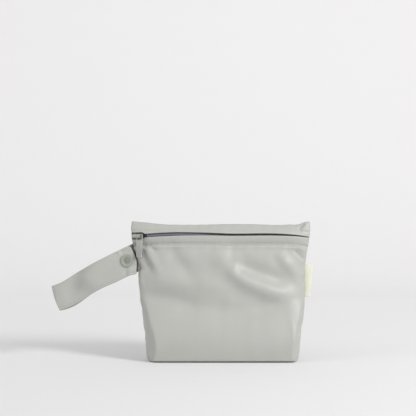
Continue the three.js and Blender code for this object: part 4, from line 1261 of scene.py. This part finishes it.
def strap_stations(across, back_steps=110, fold_steps=18, front_steps=92):
    """Middles of the strap's cloth, for distances across it, and the normals out of its loop.

    They go out along the back layer, round the fold and home along the front layer. The third value says which
    layer each station is on: 0 back, 1 front.
    """
    across = np.asarray(across, float)[None, :]
    root = strap_root()
    out = np.linspace(STRAP_LINE[0].out, STRAP_LINE[-1].out, 600)
    down = between(STRAP_LINE, "out", "down", out)
    line = np.stack([root - out * STRAP_REACH, STRAP_HEIGHT - down * STRAP_REACH])
    step = np.hypot(*np.diff(line))
    travelled = np.concatenate([[0], np.cumsum(step)])
    total = travelled[-1]
    away = np.gradient(line, axis=1)
    away /= np.hypot(*away)
    tuck = np.interp(root, line[0, ::-1], travelled[::-1])

    def at(share):
        """Place and direction of the middle line, also past its start."""
        distance = share * total
        x, z = (np.interp(distance, travelled, line[k]) for k in (0, 1))
        dx, dz = (np.interp(distance, travelled, away[k]) for k in (0, 1))
        before = np.minimum(distance, 0)
        return x + before * dx, z + before * dz, dx, dz

    shares = np.linspace(-0.05, 0.25, 300)[:, None]
    x, z, dx, dz = at(shares)
    px, pz = x + dz * across, z - dx * across
    beyond = px - seam_x("left", pz / HEIGHT)
    sewn, clear = (
        np.array([np.interp(past, -beyond[:, j], shares[:, 0]) for j in range(across.shape[1])])[None, :]
        for past in (-STRAP_SEWN, STRAP_CLEAR)
    )
    radius = (between(STRAP_LAYERS, "along", "space", 1.0) * SNAP_STACK + STRAP_THICKNESS) / 2
    turn = 1 - radius / total
    rounded = 2.2 * smooth((across - 9.0) / 4.0) ** 2
    free = np.maximum((tuck + STRAP_END + rounded) / total, clear)

    back_t = np.linspace(0, 1, back_steps)[:, None]
    angle = (np.pi * np.arange(1, fold_steps) / fold_steps)[:, None]
    front_t = np.linspace(0, 1, front_steps)[:, None]
    wide = -FOLD_SLANT * across / total
    back_share = sewn + (turn + wide - sewn) * back_t
    fold_share = turn + radius * np.sin(angle) / total + wide
    front_share = turn + wide + (free - turn - wide) * front_t
    share = np.concatenate([back_share, fold_share, front_share])

    def back_at(s):
        return between(STRAP_LAYERS, "along", "back", s) * SNAP_STACK

    def front_at(s):
        return back_at(s) - between(STRAP_LAYERS, "along", "space", s) * SNAP_STACK - STRAP_THICKNESS

    depth = np.concatenate(
        [
            back_at(np.clip(back_share, 0, 1)),
            back_at(turn) - radius * (1 - np.cos(angle)) + np.zeros_like(wide),
            front_at(np.clip(front_share, 0, 1)),
        ]
    )
    x, z, dx, dz = at(share)
    middles = np.stack([x + dz * across, depth, z - dx * across], axis=-1)
    layer = np.concatenate([np.zeros(back_steps), np.linspace(0, 1, fold_steps - 1), np.ones(front_steps)])
    layer = layer[:, None]
    home = (share - free) * total
    # Near the root the layers droop at their lower edge, and further out they hang.
    lower = smooth(-across / (STRAP_WIDTH / 2))
    droop = layer * (1.7 * smooth((46 - home) / 24) + 2.0 * smooth((10 - home) / 10)) * lower
    droop += (1 - layer) * 2.6 * smooth((9 - home) / 9) * lower
    middles[..., 2] -= droop
    middles[..., 0] -= 0.3 * droop * smooth((10 - home) / 10)
    hang = smooth(1 - np.abs(share * total - 88) / 22) * (1 - 0.75 * layer)
    middles[..., 2] -= 2.0 * hang
    # Beside the seam the back layer tucks away behind. The front layer's free end lies back under the pull.
    seam = (share - sewn) * total
    middles[..., 1] += (1 - layer) * ROOT_TUCK * smooth((seam - 2.0) / 1.6) * smooth((6.6 - seam) / 2.8)
    x, z = middles[..., 0], middles[..., 2]
    middles[..., 1] += layer * END_TUCK * smooth((x + 98) / 8) * smooth((z - 92) / 8)
    middles[..., 1] += strap_waves(middles, layer)
    along = np.gradient(middles, axis=0)
    width = np.stack([dz, np.zeros_like(dx), -dx], axis=-1)
    return middles, unit(np.cross(along, width)), layer


STRAP_CREASES = [
    Crease(-96, 96, -96.5, 90, -97, 82, 1.6, 2.0, -0.8),
    Crease(-101, 105, -105, 109, -109, 111, 1.8, 2.2, 0.6),
    Crease(-104, 107, -98, 109, -90, 107, 3.0, 2.0, -0.6),
    Crease(-103, 99, -109, 98, -114, 95, 2.4, 2.4, -0.4),
    Crease(-91, 96, -92, 90, -92, 80, 4.0, 4.5, 1.0),
    Crease(-119, 122, -131, 95, -140, 66, 14.0, 10.0, 4.6),
    Crease(-140, 118, -149, 84, -156, 50, 9.0, 8.0, -2.4),
    Crease(-168, 104, -172, 72, -178, 38, 16.0, 6.0, -0.8),
]


def strap_waves(middles, layer):
    """How far the strap's cloth is moved backwards from its even run."""
    x, z = middles[..., 0], middles[..., 2]
    front = -fine_lift(STRAP_CREASES, x, z)
    back = 0.5 * np.sin((x - 0.5 * z) / 9.0)
    return layer * front + (1 - layer) * back * 0.4


def strap_section(points=15, round_points=5):
    """The strap's section: distances across and out, once round, with dips at the two topstitched lines."""
    half, thick, edge = STRAP_WIDTH / 2, STRAP_THICKNESS / 2, 0.72
    flat = (half - edge) * np.sin(np.linspace(-math.pi / 2, math.pi / 2, points * 2 - 1))
    dip = STRAP_STITCH + np.array([-0.4, 0.0, 0.4])
    face = np.sort(np.concatenate([flat, -dip, dip]))

    def height(a):
        return thick - 0.24 * bell(np.abs(a) - STRAP_STITCH, 0.5) + 0.1 * bell(a, 8)

    angle = np.linspace(math.pi / 2, -math.pi / 2, round_points + 2)[1:-1]
    right = np.stack([half - edge + edge * np.cos(angle), thick * np.sin(angle)], axis=-1)
    top = np.stack([face, height(face)], axis=-1)
    under = top[::-1] * (1, -1)
    return np.concatenate([top, right, under, -right])


class WETBAG_OT_strap(Operator):
    """Makes the wrist strap, folded on itself, with its topstitching"""

    bl_idname = "wetbag.strap"
    bl_label = "Wrist strap"

    def execute(self, context):
        ring = strap_section()
        middles, normal, _ = strap_stations(ring[:, 0])
        points = middles + normal * ring[None, :, 1:]
        rows, count = points.shape[:2]
        travelled = travel(middles[:, count // 4])[:, None] + np.zeros(count)
        uv = np.stack([np.broadcast_to(ring[:, 0], travelled.shape), travelled], axis=-1)
        uv = uv.reshape(-1, 2) * MM / UV_LENGTH
        faces = tube_faces(rows, count, turned=True)
        strap = mesh_piece("wrist_strap_cloth", points.reshape(-1, 3) * MM, faces, uv)
        wear(strap, laminated_knit(), "laminated_knit", "pouch", "wrist_strap")
        sides, normals, _ = strap_stations([-STRAP_STITCH, STRAP_STITCH])
        runs = [(sides[:, j] + normals[:, j] * 0.62, normals[:, j]) for j in (0, 1)]
        ends, normals, _ = strap_stations(np.linspace(-11.6, 11.6, 40))
        for back in (3, 5):
            runs.append((ends[-back] + normals[-back] * 0.84, normals[-back]))
        seam = stitches("strap_topstitch", runs)
        wear(seam, spun_thread(), "laminated_knit", "pouch")
        return {"FINISHED"}


CAP_DISC = 1.4  # thickness of a snap cap's disc


class WETBAG_OT_snap(Operator):
    """Makes the snap's two caps, and finishes its stud and socket"""

    bl_idname = "wetbag.snap"
    bl_label = "Snap"

    def execute(self, context):
        for node, way in (("snap_front_cap", -1), ("snap_back_cap", 1)):
            low, high = (Vector(corner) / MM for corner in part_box(node))
            middle = (low + high) / 2
            radius = (high.x - low.x) / 2
            outer, inner = (low.y, high.y) if way < 0 else (high.y, low.y)
            object_mode()
            bpy.ops.mesh.primitive_cylinder_add(
                vertices=72,
                radius=radius * MM,
                depth=CAP_DISC * MM,
                location=(middle.x * MM, (outer - way * CAP_DISC / 2) * MM, middle.z * MM),
                rotation=(math.pi / 2, 0, 0),
            )
            bpy.ops.object.transform_apply(location=True, rotation=True, scale=True)
            cap = bpy.context.active_object
            cap.name = cap.data.name = "moulded_" + node
            pick(cap, lambda middle, facing: facing.y * way > 0.9)
            for width, depth in ((0.55, 0), (1.0, 0), (0.75, -0.55), (2.7, -0.08), (0.2, 0.14)):
                inset(width, depth)
            pick(cap, lambda middle, facing: facing.y * way < -0.9)
            inset(radius - 1.2)
            draw_out(0, inner - (outer - way * CAP_DISC), 0)
            pick(cap, lambda m, facing: abs(m.y - outer) < 0.02 and abs(facing.y) < 0.1, "edges")
            soften(cap, 0.3, 4, 50)
            wear(cap, moulded_acetal(), "snap_resin", "pouch", node)
        for node in ("snap_socket", "snap_stud"):
            for slot in frame["nodes"][node].material_slots:
                slot.material = moulded_acetal()
        return {"FINISHED"}


LABEL_TOP, LABEL_HEIGHT, LABEL_REACH = 96.5, 33.0, 7.0  # its reach is out of the side seam
LABEL_THICKNESS = 0.32


def label_grid():
    """Outside of the label: from the seam out along its front, round its fold and back."""
    z = np.linspace(LABEL_TOP - LABEL_HEIGHT, LABEL_TOP, 45)[:, None]
    down = (LABEL_TOP - z) / LABEL_HEIGHT
    seam = seam_x("right", z / HEIGHT)
    reach = LABEL_REACH - 1.8 * down + 0.25 * np.sin(down * 5.0)
    half = 0.46
    out = np.linspace(0, 1, 16)[None, :]
    angle = np.linspace(-math.pi / 2, math.pi / 2, 9)[None, 1:-1]
    flat = reach - half
    ones = np.ones_like(down)
    face = half * ones * np.ones_like(out)
    x = np.concatenate([out * flat, flat + half * np.cos(angle) * ones, out[:, ::-1] * flat], axis=1)
    y = np.concatenate([-face, half * np.sin(angle) * ones, face], axis=1)
    out = x / LABEL_REACH
    curl = -0.8 * np.sin(math.pi * down) * out + 0.22 * np.sin(down * 9 + x * 0.5) * out**2
    slim = np.clip(x / 2.5, 0.3, 1)
    return np.stack([seam - 0.4 + x, y * slim + curl, z * np.ones_like(x)], axis=-1)


class WETBAG_OT_label(Operator):
    """Makes the blank side label, doubled over and caught in the side seam"""

    bl_idname = "wetbag.label"
    bl_label = "Side label"

    def execute(self, context):
        grid = label_grid()
        label = sheet_piece("woven_side_label", grid, LABEL_THICKNESS)
        wear(label, label_cotton(), "label_cotton", "pouch", "side_label")
        return {"FINISHED"}


FLOOR_END = 0.9  # metres behind the bag
BEND = 0.6  # radius of the curve up into the wall


def stage_plane():
    """A pale floor that curves up into the wall behind."""
    bend = np.linspace(0, math.pi / 2, 13)
    curve = [(FLOOR_END + BEND * math.sin(a), BEND - BEND * math.cos(a)) for a in bend]
    profile = [(-2.5, 0.0), *curve, (FLOOR_END + BEND, 3.0)]
    points = [(x, y, z) for y, z in profile for x in (-4.0, 4.0)]
    faces = [(a, a + 1, a + 3, a + 2) for a in range(0, len(points) - 2, 2)]
    mesh = bpy.data.meshes.new("studio_sweep")
    mesh.from_pydata(points, [], faces)
    mesh.shade_smooth()
    return link(bpy.data.objects.new("studio_sweep", mesh))


AIM = Vector((0, 0, 0.06))  # near the bag's middle
KEY_AWAY = 1.9  # metres, from there to the main light
PICTURE_WIDTH = 0.416  # metres, at the bag
PICTURE_MIDDLE = -0.015  # metres to the right of the bag's own middle


def area_lamp(name, shape, size, power, place):
    """An area light turned to the bag."""
    light = bpy.data.lights.new(name, "AREA")
    light.shape, light.size, light.energy = shape, size, power
    lamp = link(bpy.data.objects.new(name, light))
    lamp.location = place
    lamp.rotation_euler = (AIM - lamp.location).to_track_quat("-Z", "Y").to_euler()


class WETBAG_OT_stage(Operator):
    """Makes the floor, the lights and the camera"""

    bl_idname = "wetbag.stage"
    bl_label = "Stage"

    def execute(self, context):
        stage = context.scene.wet_bag_stage
        sweep = stage_plane()
        material, tree = new_material("painted_sweep")
        depth = add_node(tree, "ShaderNodeSeparateXYZ", {"Vector": object_place(tree)}).outputs["Y"]
        painted_falloff = remap(tree, depth, From_Min=-0.32, From_Max=0.75)
        colour = mix(tree, painted_falloff, shaded(linear("#dddcdd")), shaded(linear("#f1f0f0")))
        finish_material(tree, {"Base Color": colour, "Roughness": 0.9, "Specular IOR Level": 0.1})
        sweep.data.materials.append(material)
        flat = KEY_AWAY * math.cos(stage.key_rise)
        place = (
            flat * math.sin(stage.key_turn),
            -flat * math.cos(stage.key_turn),
            AIM.z + KEY_AWAY * math.sin(stage.key_rise),
        )
        area_lamp("key", "DISK", 0.6, stage.key_power, place)
        area_lamp("side_fill", "SQUARE", 1.4, stage.side_power, (-1.7, -0.9, 0.8))
        world = bpy.data.worlds.new("studio")
        context.scene.world = world
        world.use_nodes = True
        sky = world.node_tree.nodes["Background"]
        sky.inputs["Color"].default_value = (1, 1, 1, 1)
        sky.inputs["Strength"].default_value = stage.fill
        optics = bpy.data.cameras.new("camera")
        optics.sensor_width = 36
        optics.lens = optics.sensor_width * stage.camera_distance / PICTURE_WIDTH
        camera = link(bpy.data.objects.new("camera", optics))
        camera.location = (PICTURE_MIDDLE, -stage.camera_distance, stage.camera_height)
        camera.rotation_euler = (math.pi / 2, 0, 0)
        context.scene.camera = camera
        context.scene.view_settings.view_transform = "Standard"
        return {"FINISHED"}


class WETBAG_PT_panel(Panel):
    """Lists the wet bag's pieces"""

    bl_idname = "WETBAG_PT_panel"
    bl_label = "Wet Bag"
    bl_space_type = "VIEW_3D"
    bl_region_type = "UI"
    bl_category = "Wet Bag"

    def draw(self, context):
        for setting in GROUPS:
            group, box = getattr(context.scene, setting), self.layout.box()
            for name in group.__annotations__:
                box.prop(group, name)
        for operator in PIECES:
            self.layout.operator(operator.bl_idname)


PIECES = (
    WETBAG_OT_front_cloth,
    WETBAG_OT_back_cloth,
    WETBAG_OT_top_band,
    WETBAG_OT_zip,
    WETBAG_OT_slider,
    WETBAG_OT_pull,
    WETBAG_OT_strap,
    WETBAG_OT_snap,
    WETBAG_OT_label,
    WETBAG_OT_stage,
)
GROUPS = {
    "wet_bag_cloth": WetBagCloth,
    "wet_bag_zip": WetBagZip,
    "wet_bag_strap": WetBagStrap,
    "wet_bag_stage": WetBagStage,
}
CLASSES = (*GROUPS.values(), *PIECES, WETBAG_PT_panel)


def register():
    for cls in CLASSES:
        bpy.utils.register_class(cls)
    for name, group in GROUPS.items():
        setattr(bpy.types.Scene, name, PointerProperty(type=group))


def unregister():
    for name in GROUPS:
        delattr(bpy.types.Scene, name)
    for cls in reversed(CLASSES):
        bpy.utils.unregister_class(cls)


def main():
    register()
    bpy.ops.wetbag.front_cloth()
    bpy.ops.wetbag.back_cloth()
    bpy.ops.wetbag.top_band()
    bpy.ops.wetbag.zip()
    bpy.ops.wetbag.slider()
    bpy.ops.wetbag.pull()
    bpy.ops.wetbag.strap()
    bpy.ops.wetbag.snap()
    bpy.ops.wetbag.label()
    bpy.ops.wetbag.stage()


if __name__ == "__main__":
    main()
